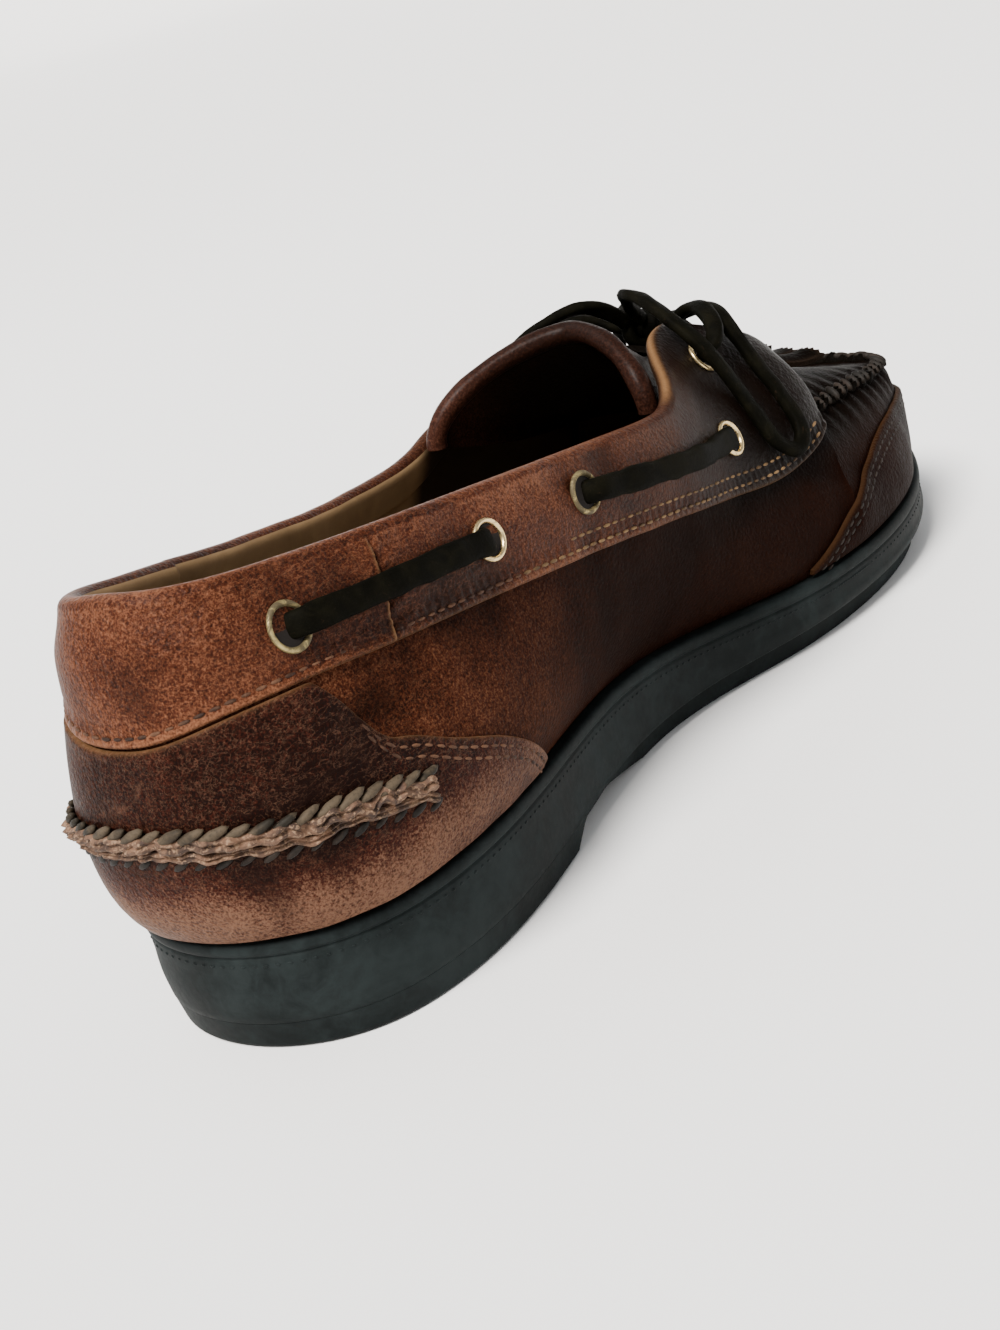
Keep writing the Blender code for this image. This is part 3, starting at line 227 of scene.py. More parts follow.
rim_side = ring_spline(SOLE_SECTIONS, SOLE_COLUMNS, "medial", "lateral", (0.0, TOE_TIP_SIDE, -1))
rim_top = ring_spline(SOLE_SECTIONS, SOLE_COLUMNS, "top", "top", (HEEL_TIP_TOP, TOE_TIP_TOP, 1))
rim_lift = ring_spline(SOLE_SECTIONS, SOLE_COLUMNS, "lift", "lift", (0.0, TOE_TIP_LIFT, 1))
SHAPE_ENDS = WALL_SHAPE[0], WALL_SHAPE[-1]
wall_handle = {
    name: ring_spline(WALL_SHAPE, WALL_COLUMNS, name, name,
                      (SHAPE_ENDS[0][i + 1], SHAPE_ENDS[1][i + 1], 1))
    for i, name in enumerate(WALL_COLUMNS[1:])
}


def outline(turn, inset=0.0):
    """Plan points of the sole's rim, and the same moved inwards by inset, with its normals."""
    def rim(at):
        return np.stack([rim_side(at) * BALL_WIDTH, HEEL_BACK + share_of(at) * SOLE_LENGTH], -1)
    turn = np.asarray(turn, float)
    ahead = unit(rim(turn + SMALL) - rim(turn - SMALL))
    normal = np.stack([ahead[..., 1], -ahead[..., 0]], -1)
    return rim(turn) - normal * inset, normal


def edge_splines():
    """Splines of the upper's top edge: collar with both tabs, and the moc seam round the toe."""
    back_rows = COLLAR_EDGE + TAB_EDGE
    back_turn = turn_of(column(back_rows, EDGE_COLUMNS, "foot"))
    seam_turn = turn_of(column(MOC_SEAM_EDGE, EDGE_COLUMNS, "foot"))
    found = {}
    for name, medial, lateral, sign in (("along", "along", "along", 1),
                                        ("side", "medial", "lateral", -1),
                                        ("height", "height", "lateral_height", 1)):
        near = column(back_rows, EDGE_COLUMNS, medial)
        far = [sign * value for value in column(back_rows, EDGE_COLUMNS, lateral)]
        seam_near = column(MOC_SEAM_EDGE, EDGE_COLUMNS, medial)
        seam_far = [sign * value for value in column(MOC_SEAM_EDGE, EDGE_COLUMNS, lateral)]
        back = spline(np.concatenate([-back_turn[:0:-1], back_turn]), far[:0:-1] + near)
        seam_angles = np.concatenate([seam_turn, 2 * math.pi - seam_turn[-2::-1]])
        seam = spline(seam_angles, seam_near + seam_far[-2::-1])
        found[name] = back, seam
    return found


EDGE = edge_splines()
SEAM_TURN = turn_of(SEAM_START)


def top_edge(turn):
    """The upper's top edge above each column: collar, tabs or moc seam."""
    turn = np.mod(np.asarray(turn, float), 2 * math.pi)
    signed = np.where(turn > math.pi, turn - 2 * math.pi, turn)
    behind = np.abs(signed) <= SEAM_TURN
    back_at = np.where(behind, signed, 0)
    seam_at = np.where(behind, math.pi, turn)
    along, side, height = (
        np.where(behind, EDGE[name][0](back_at), EDGE[name][1](seam_at))
        for name in ("along", "side", "height"))
    return in_place(side, along, height)


def wall(turn, rise):
    """Outer face of the upper: turn round the sole, rise 0 at the sole to 1 at the top edge."""
    turn = np.asarray(turn, float)
    rise = np.asarray(rise, float)[..., None]
    plan, normal = outline(turn, RIM_WIDTH)
    level = rim_top(turn) * COLLAR_HEIGHT + GAP
    foot = np.concatenate([plan, level[..., None]], -1)
    out = np.concatenate([normal, np.zeros_like(normal[..., :1])], -1)
    top = top_edge(turn)
    size = {name: (handle(turn) * COLLAR_HEIGHT)[..., None]
            for name, handle in wall_handle.items()}
    up = np.array([0.0, 0.0, 1.0])
    low = foot + out * size["foot_out"] + up * size["foot_up"]
    high = top + out * size["top_out"] - up * size["top_down"]
    return swept(foot, low, high, top, rise)


def wall_normal(turn, rise):
    """Unit normals of the outer face, pointing out."""
    turn = np.asarray(turn, float)
    rise = np.clip(np.asarray(rise, float), SMALL, 1 - SMALL)
    round_it = wall(turn + SMALL, rise) - wall(turn - SMALL, rise)
    up_it = wall(turn, rise + SMALL) - wall(turn, rise - SMALL)
    return unit(np.cross(round_it, up_it))


crest_height, crest_forward = (
    spline(column(PLUG_CREST, CREST_COLUMNS, "foot"), column(PLUG_CREST, CREST_COLUMNS, name))
    for name in CREST_COLUMNS[1:])


def plug(turn, across):
    """Outer face of the plug: turn of its medial seam column, across 0 medial to 1 lateral."""
    turn = np.asarray(turn, float)
    across = np.asarray(across, float)[..., None]
    medial = top_edge(turn)
    lateral = top_edge(2 * math.pi - turn)
    share = share_of(turn)
    middle = (medial + lateral) / 2
    lift = crest_height(share) * COLLAR_HEIGHT - middle[..., 2]
    rise = np.stack([np.zeros_like(lift), crest_forward(share) * SOLE_LENGTH, lift], -1) \
        / HANDLE_LIFT
    low = medial + (middle - medial) * PLUG_SHOULDER + rise
    high = lateral + (middle - lateral) * PLUG_SHOULDER + rise
    return swept(medial, low, high, lateral, across)


def plug_normal(turn, across):
    """Unit normals of the plug, pointing up and out."""
    across = np.clip(np.asarray(across, float), SMALL, 1 - SMALL)
    turn = np.clip(np.asarray(turn, float), SEAM_TURN + SMALL, math.pi - 3 * SMALL)
    ahead = plug(turn + SMALL, across) - plug(turn - SMALL, across)
    over = plug(turn, across + SMALL) - plug(turn, across - SMALL)
    return upwards(np.cross(over, ahead))


# ---------------------------------------------------------------- rubber, seams and laces
WALL_FOOT_INSET = 0.8 * MM    # the midsole's side leans in towards its foot
TREAD = 6.0 * MM              # depth of the outsole under heel and forefoot
TREAD_INSET = (0.9 * MM, 3.4 * MM)  # at the heel and at the forefoot
INSET_TURNS = (0.30, 0.48)    # stations between which the inset grows
TREAD_TAPER = 0.9 * MM
TOE_SETBACK = 6.0 * MM        # the outsole stops short of the toe's tip
SETBACK_FROM = 0.85
ARCH_LIFT = 4.0 * MM
ARCH_RISE = (0.275, 0.300)    # stations between which the heel's breast rises
ARCH_FALL = (0.350, 0.420)
TREAD_EDGE = 0.9 * MM         # the bevel round the ground face

INSOLE_INSET = 6.0 * MM
INSOLE_WALL = 3.5 * MM

# seam lines on the upper's wall: station of the column's foot, height
LINE_COLUMNS = ("foot", "height")
BAND_SEAM = (
    (0.000, 0.708),
    (0.020, 0.732),
    (0.055, 0.744),
    (0.120, 0.724),
    (0.212, 0.686),
    (0.300, 0.645),
    (0.400, 0.596),
    (0.513, 0.530),
    (0.600, 0.472),
    (0.650, 0.455),
    (0.680, 0.476),
    (0.706, 0.520),
)
SEAM_DROP_SHARE = 0.6         # of the lateral edge's drop, that the band's seam follows
COUNTER_EDGE = (
    (0.000, 0.720),
    (0.076, 0.720),
    (0.084, 0.675),
    (0.095, 0.597),
    (0.112, 0.556),
    (0.138, 0.509),
    (0.172, 0.456),
    (0.214, 0.379),
    (0.246, 0.295),
)
COUNTER_FRONT = 0.246
COUNTER_LIFT = 0.5 * MM
GUARD_EDGE = (
    (0.630, 0.206),
    (0.652, 0.225),
    (0.676, 0.258),
    (0.704, 0.300),
    (0.744, 0.348),
    (0.791, 0.380),
    (0.838, 0.392),
    (0.890, 0.388),
    (0.941, 0.380),
    (0.968, 0.377),
    (0.985, 0.385),
    (1.000, 0.394),
)
GUARD_START = 0.632
HEEL_SEAM = (
    (0.000, 0.526),
    (0.010, 0.519),
    (0.024, 0.508),
    (0.046, 0.500),
    (0.078, 0.484),
    (0.116, 0.452),
)
HEEL_SEAM_FRONT = 0.116
MOC_SEAM_START = 0.045        # angle between the tab's corner and the raised seam's end
COUNTER_FOOT = 2.2 * MM       # the overlays end this far above the sole's rim
GUARD_FOOT = 1.4 * MM

# cross-sections of the tongue: place along, crest, half width to each side, height of edge
TONGUE_COLUMNS = ("along", "crest", "medial", "lateral", "edge")
TONGUE_SECTIONS = (
    (0.762, 0.610, 0.150, 0.150, 0.560),
    (0.722, 0.655, 0.180, 0.180, 0.590),
    (0.680, 0.725, 0.200, 0.205, 0.625),
    (0.645, 0.800, 0.212, 0.222, 0.650),
    (0.610, 0.893, 0.235, 0.262, 0.695),
    (0.5855, 0.955, 0.256, 0.298, 0.755),
)
TONGUE_SWEEP = (12.0 * MM, 27.0 * MM)  # the rim's medial and lateral ends lie behind its middle
SWEEP_ROUND = 1.5
SWEEP_FROM = 0.700            # station from which the tongue's rows bow back
TONGUE_WALL = 2.4 * MM
TONGUE_ROUND = 2.0            # exponent of the arch
# cross-sections of the kiltie
ARCH_COLUMNS = ("along", "crest", "half", "edge")
KILTIE_SECTIONS = (
    (0.645, 0.845, 0.110, 0.820),
    (0.680, 0.795, 0.120, 0.765),
    (0.700, 0.780, 0.140, 0.733),
    (0.722, 0.757, 0.168, 0.697),
    (0.765, 0.702, 0.222, 0.635),
    (0.800, 0.652, 0.255, 0.592),
    (0.828, 0.622, 0.272, 0.575),
)
KILTIE_WALL = 1.6 * MM
KILTIE_ROUND = 2.0
KILTIE_REACH = 0.97           # the flap stops short of where its arch turns upright
FRINGE_START = 0.738          # where the strips are cut free
FRINGE_STRIPS = 8
FRINGE_CUT = 0.9 * MM

# places of the eyelets on each side of the band, as in the seam lines
EYELETS = (
    (0.075, 0.842),
    (0.250, 0.783),
    (0.362, 0.753),
    (0.590, 0.612),
    (0.623, 0.784),
)

# routes of the lace past the front eyelets, in millimetres
CROSSING_ROUTE = ((15.0, 168.0, 84.2), (8.0, 170.0, 80.6), (0.0, 171.0, 79.4),
                  (-8.0, 170.0, 80.6), (-15.0, 168.0, 84.2))
MEDIAL_LOOP_ROUTE = ((1.6, 166.9, 82.9), (0.8, 163.3, 88.0), (3.5, 159.0, 91.4),
                     (9.5, 155.0, 91.3), (16.0, 151.0, 89.2), (22.0, 147.8, 86.0),
                     (26.7, 147.0, 82.0), (29.6, 147.8, 77.5), (31.5, 149.5, 72.3),
                     (33.3, 151.3, 66.5), (35.5, 152.3, 61.0), (37.8, 152.6, 55.8),
                     (40.2, 154.5, 51.0), (41.6, 158.4, 48.8), (41.4, 162.6, 50.8),
                     (39.1, 164.6, 56.2), (36.1, 164.8, 62.0), (33.0, 164.6, 67.6),
                     (29.6, 164.6, 73.6), (25.8, 166.4, 79.0), (20.4, 170.6, 82.4),
                     (14.0, 173.6, 82.4), (9.4, 174.8, 81.0), (5.6, 174.8, 80.6))
LATERAL_LOOP_ROUTE = ((-3.2, 166.6, 82.8), (-5.5, 161.8, 87.6), (-10.0, 157.0, 90.0),
                      (-16.0, 151.8, 88.8), (-22.0, 148.2, 86.0), (-26.8, 147.4, 81.8),
                      (-30.2, 148.4, 76.8), (-33.0, 150.6, 71.4), (-35.6, 153.8, 66.4),
                      (-37.4, 158.2, 63.0), (-36.9, 162.8, 64.2), (-34.6, 165.2, 68.4),
                      (-31.4, 166.6, 73.2), (-26.6, 168.4, 78.4), (-20.8, 171.4, 82.2),
                      (-14.2, 173.2, 82.2), (-9.4, 174.3, 80.6), (-5.8, 174.3, 80.4))
END_ROUTE = ((-4.2, 174.6, 85.2), (-11.4, 180.6, 81.6), (-19.0, 187.0, 73.4),
             (-26.0, 193.0, 65.5), (-33.0, 198.5, 59.0), (-39.5, 203.0, 53.0),
             (-45.0, 206.5, 46.0), (-48.5, 208.5, 38.5))
FRONT_END_ROUTE = ((0.3, 177.6, 81.2), (0.6, 182.6, 78.0), (1.0, 190.0, 72.6),
                   (1.1, 198.0, 68.6), (0.5, 206.0, 65.0), (-0.5, 213.5, 60.8),
                   (-1.5, 220.5, 57.2), (-2.4, 227.0, 54.6))

TURN_FINE = 720               # steps in which a line round the upper is measured
BAND_END = turn_of(0.6955)    # the collar band ends on the tabs

# ---------------------------------------------------------------- sizes of the finished pieces
COLLAR_ROLL = 2.6 * MM        # radius of the rolled collar, and of the tabs' thinner edge
TAB_ROLL = 1.9 * MM
TAB_THIN = (0.50, 0.56)       # shares of the sole's length between which it grows thin
ROLL_STEPS = 11
FACING_DEPTH = 6.0 * MM       # how far the collar's leather turns down inside
FACING_STEPS = 6
FACING_END = ((0.5, 0.05), (0.9, 0.35), (1.1, 0.85))  # millimetres further down, share rounded
FACING_THICK = 4.0 * MM
FACING_BACK = 2.26 * MM       # the facing's own back lies just inside the lining
EDGE_STEPS = (0.0 * MM, 0.12 * MM, 0.35 * MM, 0.7 * MM, 1.3 * MM)
EDGE_ROUND = 0.7 * MM
EDGE_FLOOR = 0.35             # share of the thickness left at a cut edge
STITCH_SINK = 0.22 * MM
STITCH_GROOVE = 0.7 * MM

# surface values: raw cut edges; painted shade in creases and hollows with painted light on ridges;
# wear, on the band also a painted highlight
VALUES = ("edge", "crease", "wear")
SHARP = math.radians(60)


# ---------------------------------------------------------------- meshes from grids of points
class Piece:
    """Points, faces and surface values of one piece, gathered grid by grid."""

    def __init__(self):
        self.points = []
        self.faces = []
        self.slots = []
        self.values = {name: [] for name in VALUES}
        self.count = 0

    def add(self, points, **values):
        """Adds a grid of points with its surface values, and returns their numbers."""
        points = np.asarray(points, float)
        shape = points.shape[:-1]
        numbers = self.count + np.arange(int(np.prod(shape))).reshape(shape)
        self.points.append(points.reshape(-1, 3))
        for name in VALUES:
            self.values[name].append(np.broadcast_to(values.get(name, 0.0), shape).ravel())
        self.count += numbers.size
        return numbers

    def skin(self, numbers, slot=0):
        """Quads between neighbouring rows and columns."""
        quads = np.stack([numbers[:-1, :-1], numbers[:-1, 1:],
                          numbers[1:, 1:], numbers[1:, :-1]], -1).reshape(-1, 4)
        self.faces.extend(quads.tolist())
        self.slots.extend([slot] * len(quads))

    def slab(self, outer, inner, around=False, slots=(0, 0), **values):
        """A closed sheet between two equal grids of points."""
        top, low = self.add(outer, **values), self.add(inner, **values)
        if around:
            top = np.column_stack([top, top[:, :1]])
            low = np.column_stack([low, low[:, :1]])
        self.skin(top, slots[0])
        self.skin(low, slots[1])
        for end in (0, -1):
            self.skin(np.stack([top[end], low[end]]), slots[0])
            if not around:
                self.skin(np.stack([top[:, end], low[:, end]]), slots[0])

    def tube(self, rings, slot=0, **values):
        """A closed tube through rings of points."""
        numbers = self.add(rings, **values)
        self.skin(np.column_stack([numbers, numbers[:, :1]]), slot)
        for ring in (numbers[0], numbers[-1][::-1]):
            self.faces.append(ring.tolist())
            self.slots.append(slot)

    def hoop(self, rings):
        """Rings joined each to the next, and the last to the first."""
        numbers = self.add(rings)
        closed = np.column_stack([numbers, numbers[:, :1]])
        self.skin(np.concatenate([closed, closed[:1]]))

    def body(self, rings):
        """Rings joined each to the next; the first and the last are closed from side to side."""
        numbers = self.add(rings)
        self.skin(np.column_stack([numbers, numbers[:, :1]]))
        for ring in (numbers[0], numbers[-1]):
            for i in range(len(ring) // 2):
                corners = [ring[i], ring[i + 1], ring[-i - 1], ring[-i % len(ring)]]
                kept = list(dict.fromkeys(int(corner) for corner in corners))
                if len(kept) > 2:
                    self.faces.append(kept)
                    self.slots.append(0)

    def make(self, name, *finishes):
        """The named object, closed and with its faces turned outwards."""
        mesh = bpy.data.meshes.new(name)
        mesh.from_pydata(np.concatenate(self.points).tolist(), [], self.faces)
        mesh.polygons.foreach_set("material_index", np.array(self.slots, np.int32))
        for value in VALUES:
            made = mesh.attributes.new(value, "FLOAT", "POINT")
            made.data.foreach_set("value", np.concatenate(self.values[value]).astype(np.float32))
        shape = bmesh.new()
        shape.from_mesh(mesh)
        bmesh.ops.remove_doubles(shape, verts=shape.verts, dist=1e-6)
        bmesh.ops.recalc_face_normals(shape, faces=shape.faces)
        shape.to_mesh(mesh)
        shape.free()
        mesh.shade_smooth()
        mesh.set_sharp_from_angle(angle=SHARP)
        for finish in finishes:
            mesh.materials.append(finish)
        return put(name, mesh)


def put(name, data):
    """A new object of the scene."""
    made = bpy.data.objects.new(name, data)
    bpy.context.scene.collection.objects.link(made)
    return made


def unit(vectors):
    """The vectors at length one."""
    return vectors / np.linalg.norm(vectors, axis=-1, keepdims=True)


def upwards(vectors):
    """The vectors at length one, those that point down turned round."""
    vectors = unit(vectors)
    return vectors * np.where(vectors[..., 2:] < 0, -1, 1)


def smooth_step(low, high, value):
    """0 below low, 1 above high, and an even turn between."""
    share = np.clip((np.asarray(value, float) - low) / (high - low), 0, 1)
    return share * share * (3 - 2 * share)


# ---------------------------------------------------------------- places on the upper's wall
REACH_STEPS = 121             # steps of rise in which a column is measured
LEVEL_STEPS = 81              # and in which a height is looked up


def reach_lines(turns):
    """Distance up each column at even steps of rise."""
    steps = np.linspace(0, 1, REACH_STEPS)
    lines = wall(turns[:, None], np.broadcast_to(steps, (len(turns), REACH_STEPS)))
    spans = np.linalg.norm(np.diff(lines, axis=1), axis=2)
    return steps, np.concatenate([np.zeros((len(turns), 1)), np.cumsum(spans, axis=1)], axis=1)


def reached(rises, steps, reach):
    """Distance up each column at its own rise."""
    return np.array([np.interp(rise, steps, line) for rise, line in zip(rises, reach)])


def risen(places, steps, reach):
    """Rise of each column at its own distances from the foot."""
    return np.array([np.interp(place, line, steps) for place, line in zip(places, reach)])


def climb(turns, rises, distance):
    """Rises at a distance up each column from other rises; down where it is negative."""
    lines = reach_lines(turns)
    return risen(reached(np.broadcast_to(rises, turns.shape), *lines) + distance, *lines)


def rows_between(turns, low, high, count, fine_top=True):
    """Rises of rows between two lines, close together near them, and distances from both."""
    lines = reach_lines(turns)
    start, end = reached(low, *lines), reached(high, *lines)
    near = np.array(EDGE_STEPS)
    far = near[::-1] if fine_top else near[:1]
    middle = np.linspace(0, 1, count)[1:-1]
    first = start[:, None] + near
    last = end[:, None] - far
    between = first[:, -1:] + (last[:, :1] - first[:, -1:]) * middle
    places = np.concatenate([first, between, last], axis=1)
    below = (places - start[:, None]).T
    above = (end[:, None] - places).T
    return risen(places, *lines).T, below, above


def fine_ends(start, end, count):
    """Turns between two ends, close together near both, and distances from the nearer end."""
    fine = np.linspace(start, end, TURN_FINE)
    line = wall(fine, np.full_like(fine, 0.7))
    length = lengths_along(line)
    near = np.array(EDGE_STEPS)
    places = np.concatenate([near, np.linspace(near[-1], length[-1] - near[-1], count)[1:-1],
                             length[-1] - near[::-1]])
    return np.interp(places, length, fine), np.minimum(places, length[-1] - places)


def edge_out(turns):
    """Direction in the leather's own surface, square to the top edge and away from the wall."""
    ahead = unit(top_edge(turns + SMALL) - top_edge(turns - SMALL))
    return unit(np.cross(wall_normal(turns, np.ones_like(turns)), ahead))


def edge_slant(turns):
    """How squarely each column meets the top edge: 1 where they cross at a right angle."""
    up = unit(wall(turns, np.ones_like(turns)) - wall(turns, np.full_like(turns, 0.97)))
    return np.clip(np.sum(up * edge_out(turns), axis=1), 0.4, 1)


def signed_turn(turns):
    """Turns from -pi to pi, medial positive."""
    return np.mod(np.asarray(turns, float) + math.pi, 2 * math.pi) - math.pi


# ---------------------------------------------------------------- creases and soft unevenness
# side, along and height of both ends, half width and depth, all in millimetres
CREASES = (
    (1, 52, 80, 60, 74, 1.6, 0.30),
    (1, 60, 79, 70, 72, 1.5, 0.25),
    (1, 68, 76, 74, 68, 1.3, 0.22),
    (1, 84, 64, 100, 57, 2.2, 0.40),
    (1, 96, 52, 112, 44, 2.6, 0.35),
    (1, 150, 52, 168, 46, 2.2, 0.50),
    (1, 160, 44, 176, 34, 3.0, 0.60),
    (1, 172, 40, 190, 30, 3.2, 0.55),
    (-1, 150, 50, 170, 42, 2.4, 0.50),
    (-1, 162, 42, 182, 32, 3.0, 0.60),
    (-1, 60, 70, 74, 62, 2.0, 0.30),
    (1, -20, 62, 2, 60, 3.0, 0.25),
    (-1, -18, 60, 6, 58, 3.0, 0.25),
)


WAVES = 11                    # waves that make up an unevenness, each its own way and length
WAVE_SPREAD = (0.7, 1.6)


def unevenness(points, wavelength, seed):
    """Soft unevenness of about -1 to 1 with waves of about one length."""
    rng = np.random.default_rng(seed)
    directions = unit(rng.normal(size=(WAVES, 3)))
    lengths = wavelength * rng.uniform(*WAVE_SPREAD, WAVES)
    phases = rng.uniform(0, 2 * math.pi, WAVES)
    total = sum(np.sin(points @ direction * (2 * math.pi / length) + phase)
                for direction, length, phase in zip(directions, lengths, phases))
    return total / math.sqrt(WAVES)


def creases(points):
    """How deep the creases press the leather in, at points of the wall."""
    depth = np.zeros(points.shape[:-1])
    for side, y0, z0, y1, z1, width, press in np.array(CREASES):
        start = np.array([y0, z0]) * MM
        span = np.array([y1, z1]) * MM - start
        place = points[..., 1:] - start
        share = np.clip(place @ span / (span @ span), 0, 1)
        away = np.linalg.norm(place - share[..., None] * span, axis=-1) / (width * MM)
        thin = 0.35 + 0.65 * np.sin(math.pi * np.clip(share, 0.02, 0.98)) ** 0.5
        depth += np.exp(-away ** 2) * press * MM * thin * (points[..., 0] * side > 0)
    return depth


FOLD = 0.05                   # turns behind and ahead of the seam's start where it folds
FOLD_END = 0.002
SOFT_WAVES = ((34, 3, 0.35), (13, 5, 0.10))  # millimetres long, seed, millimetres high
RELIEF_FROM = 0.1             # share of the wall's rise over which the relief grows


def relief(points, rise):
    """Height of the leather's creases and unevenness over the plain wall."""
    soft = sum(unevenness(points, wave * MM, seed) * high * MM for wave, seed, high in SOFT_WAVES)
    return (soft - creases(points)) * smooth_step(0, RELIEF_FROM, rise)


def steady_normal(turn, rise):
    """The wall's normals, carried evenly over the fold where tab, wall and plug meet."""
    signed = signed_turn(turn)
    ahead = np.abs(signed) - SEAM_TURN
    share = np.clip((ahead + FOLD) / (FOLD + FOLD_END), 0, 1)[..., None]
    behind = wall_normal(np.where(signed < 0, -1, 1) * (SEAM_TURN - FOLD), rise)
    beyond = wall_normal(np.where(signed < 0, -1, 1) * (SEAM_TURN + FOLD_END), rise)
    across = unit(behind * (1 - share) + beyond * share)
    folded = (ahead > -FOLD) & (ahead < FOLD_END)
    return np.where(folded[..., None], across, wall_normal(turn, rise))


def leather_at(turn, rise, lift):
    """Points at a distance from the shaped leather, and how deep its creases are there."""
    base = wall(turn, rise)
    high = relief(base, rise)
    points = base + steady_normal(turn, rise) * (lift + high)[..., None]
    return points, np.clip(-high / (0.6 * MM), -1, 1)


def even_turns(start, end, count):
    """Turns from start to end, spaced evenly along the longer of the wall's two edges."""
    fine = np.linspace(start, end, TURN_FINE)
    low = np.linalg.norm(np.diff(wall(fine, np.zeros_like(fine)), axis=0), axis=1)
    high = np.linalg.norm(np.diff(wall(fine, np.ones_like(fine)), axis=0), axis=1)
    length = np.concatenate([[0], np.cumsum(np.maximum(low, high))])
    return np.interp(np.linspace(0, length[-1], count), length, fine)


def rise_at(turn, height):
    """How far up its column the wall reaches a height (in metres)."""
    turn = np.atleast_1d(turn)
    height = np.broadcast_to(height, turn.shape)
    steps = np.linspace(0, 1, LEVEL_STEPS)
    levels = wall(turn[:, None], np.broadcast_to(steps, (len(turn), LEVEL_STEPS)))[..., 2]
    return np.array([np.interp(h, level, steps) for h, level in zip(height, levels)])


def line_height(rows, turn):
    """Height of a seam line above each column, alike on both sides."""
    feet = column(rows, LINE_COLUMNS, "foot")
    line = spline(feet, column(rows, LINE_COLUMNS, "height"))
    return line(np.clip(share_of(turn), feet[0], feet[-1])) * COLLAR_HEIGHT


def side_drop(turn):
    """How much lower the top edge is on the lateral side; nothing on the medial side."""
    return top_edge(np.abs(signed_turn(turn)))[..., 2] - top_edge(turn)[..., 2]


def band_seam(turn):
    """Height of the collar band's lower seam."""
    return line_height(BAND_SEAM, turn) - SEAM_DROP_SHARE * side_drop(turn)


def lift_at(plan):
    """Toe spring: how high the outsole's underside is above the ground, at points in plan."""
    return rim_lift(turn_of((plan[:, 1] - HEEL_BACK) / SOLE_LENGTH)) * COLLAR_HEIGHT


def arch(share):
    """Lift of the outsole's underside between heel and forefoot."""
    up = np.clip((share - ARCH_RISE[0]) / (ARCH_RISE[1] - ARCH_RISE[0]), 0, 1)
    down = np.clip((ARCH_FALL[1] - share) / (ARCH_FALL[1] - ARCH_FALL[0]), 0, 1)
    return ARCH_LIFT * np.minimum(up, down)


def tread_inset(share):
    """How far the tread lies inside the wall above it."""
    return TREAD_INSET[0] + (TREAD_INSET[1] - TREAD_INSET[0]) * smooth_step(*INSET_TURNS, share)


def arch_height(crest, edge, across, roundness):
    """Height of an arched sheet at a share of its half width."""
    return edge + (crest - edge) * (1 - np.abs(across) ** roundness) ** (1 / roundness)


def kiltie_points(along, across):
    """Points of the kiltie: place along, across -1 lateral to 1 medial."""
    table = sorted(KILTIE_SECTIONS)
    places = column(table, ARCH_COLUMNS, "along")
    across = KILTIE_REACH * across
    crest, half, edge = (spline(places, column(table, ARCH_COLUMNS, name))(along)
                         for name in ARCH_COLUMNS[1:])
    return in_place(across * half, along, arch_height(crest, edge, across, KILTIE_ROUND))


def tongue_points(along, across):
    """Points of the tongue: place of the row's middle, across -1 lateral to 1 medial."""
    table = sorted(TONGUE_SECTIONS)
    places = column(table, TONGUE_COLUMNS, "along")
    crest, medial, lateral, edge = (
        spline(places, column(table, TONGUE_COLUMNS, name))(along)
        for name in TONGUE_COLUMNS[1:])
    half = np.where(across > 0, medial, lateral)
    bow = np.clip((SWEEP_FROM - along) / (SWEEP_FROM - places[0]), 0, 1) ** 2
    sweep = np.where(across > 0, *TONGUE_SWEEP) * bow * np.abs(across) ** SWEEP_ROUND
    points = in_place(across * half, along, arch_height(crest, edge, across, TONGUE_ROUND))
    points[..., 1] -= sweep
    return points


# ---------------------------------------------------------------- the sole
# the rubber's side from its top down, in millimetres: inset from the rim's outline, depth
SIDE_PROFILE = (
    (5.5, 0.0), (3.0, 0.0), (1.5, 0.0), (0.95, 0.06), (0.5, 0.28), (0.2, 0.65), (0.04, 1.15),
    (0.0, 1.7), (0.05, 2.2), (0.2, 2.6), (0.45, 2.85), (0.68, 3.0), (0.78, 3.2), (0.7, 3.4),
    (0.52, 3.6), (0.45, 4.0), (0.45, 5.2), (0.45, 6.4), (0.48, 7.6),
)
WALL_ROWS = 7
TREAD_ROWS = (0.0, 0.02, 0.3, 0.6, 0.97, 1.0)  # shares of its depth
TREAD_BEVEL = ((0.15, 0.55), (0.45, 0.87), (1.0, 1.0))
SIDE_BULGE = 0.35 * MM
FOOT_BEVEL = 0.15 * MM
FOOT_LAP = 0.28 * MM          # nearly down to the tread, so that no dark line shows between
SOLE_COLUMNS_FINE = 180
FOOTBED_CUP = 2.2 * MM
FOOTBED_ROWS = 29
FOOTBED_COLUMNS = 70


def sole_turns(count):
    """Even columns round the sole, the same on both sides."""
    medial = even_turns(0, math.pi, count + 1)
    return np.concatenate([medial, 2 * math.pi - medial[-2:0:-1]])


def ring_at(turns, inset, level):
    """A ring of points round the sole."""
    plan, _ = outline(turns, inset)
    return np.column_stack([plan, np.broadcast_to(level, turns.shape)])


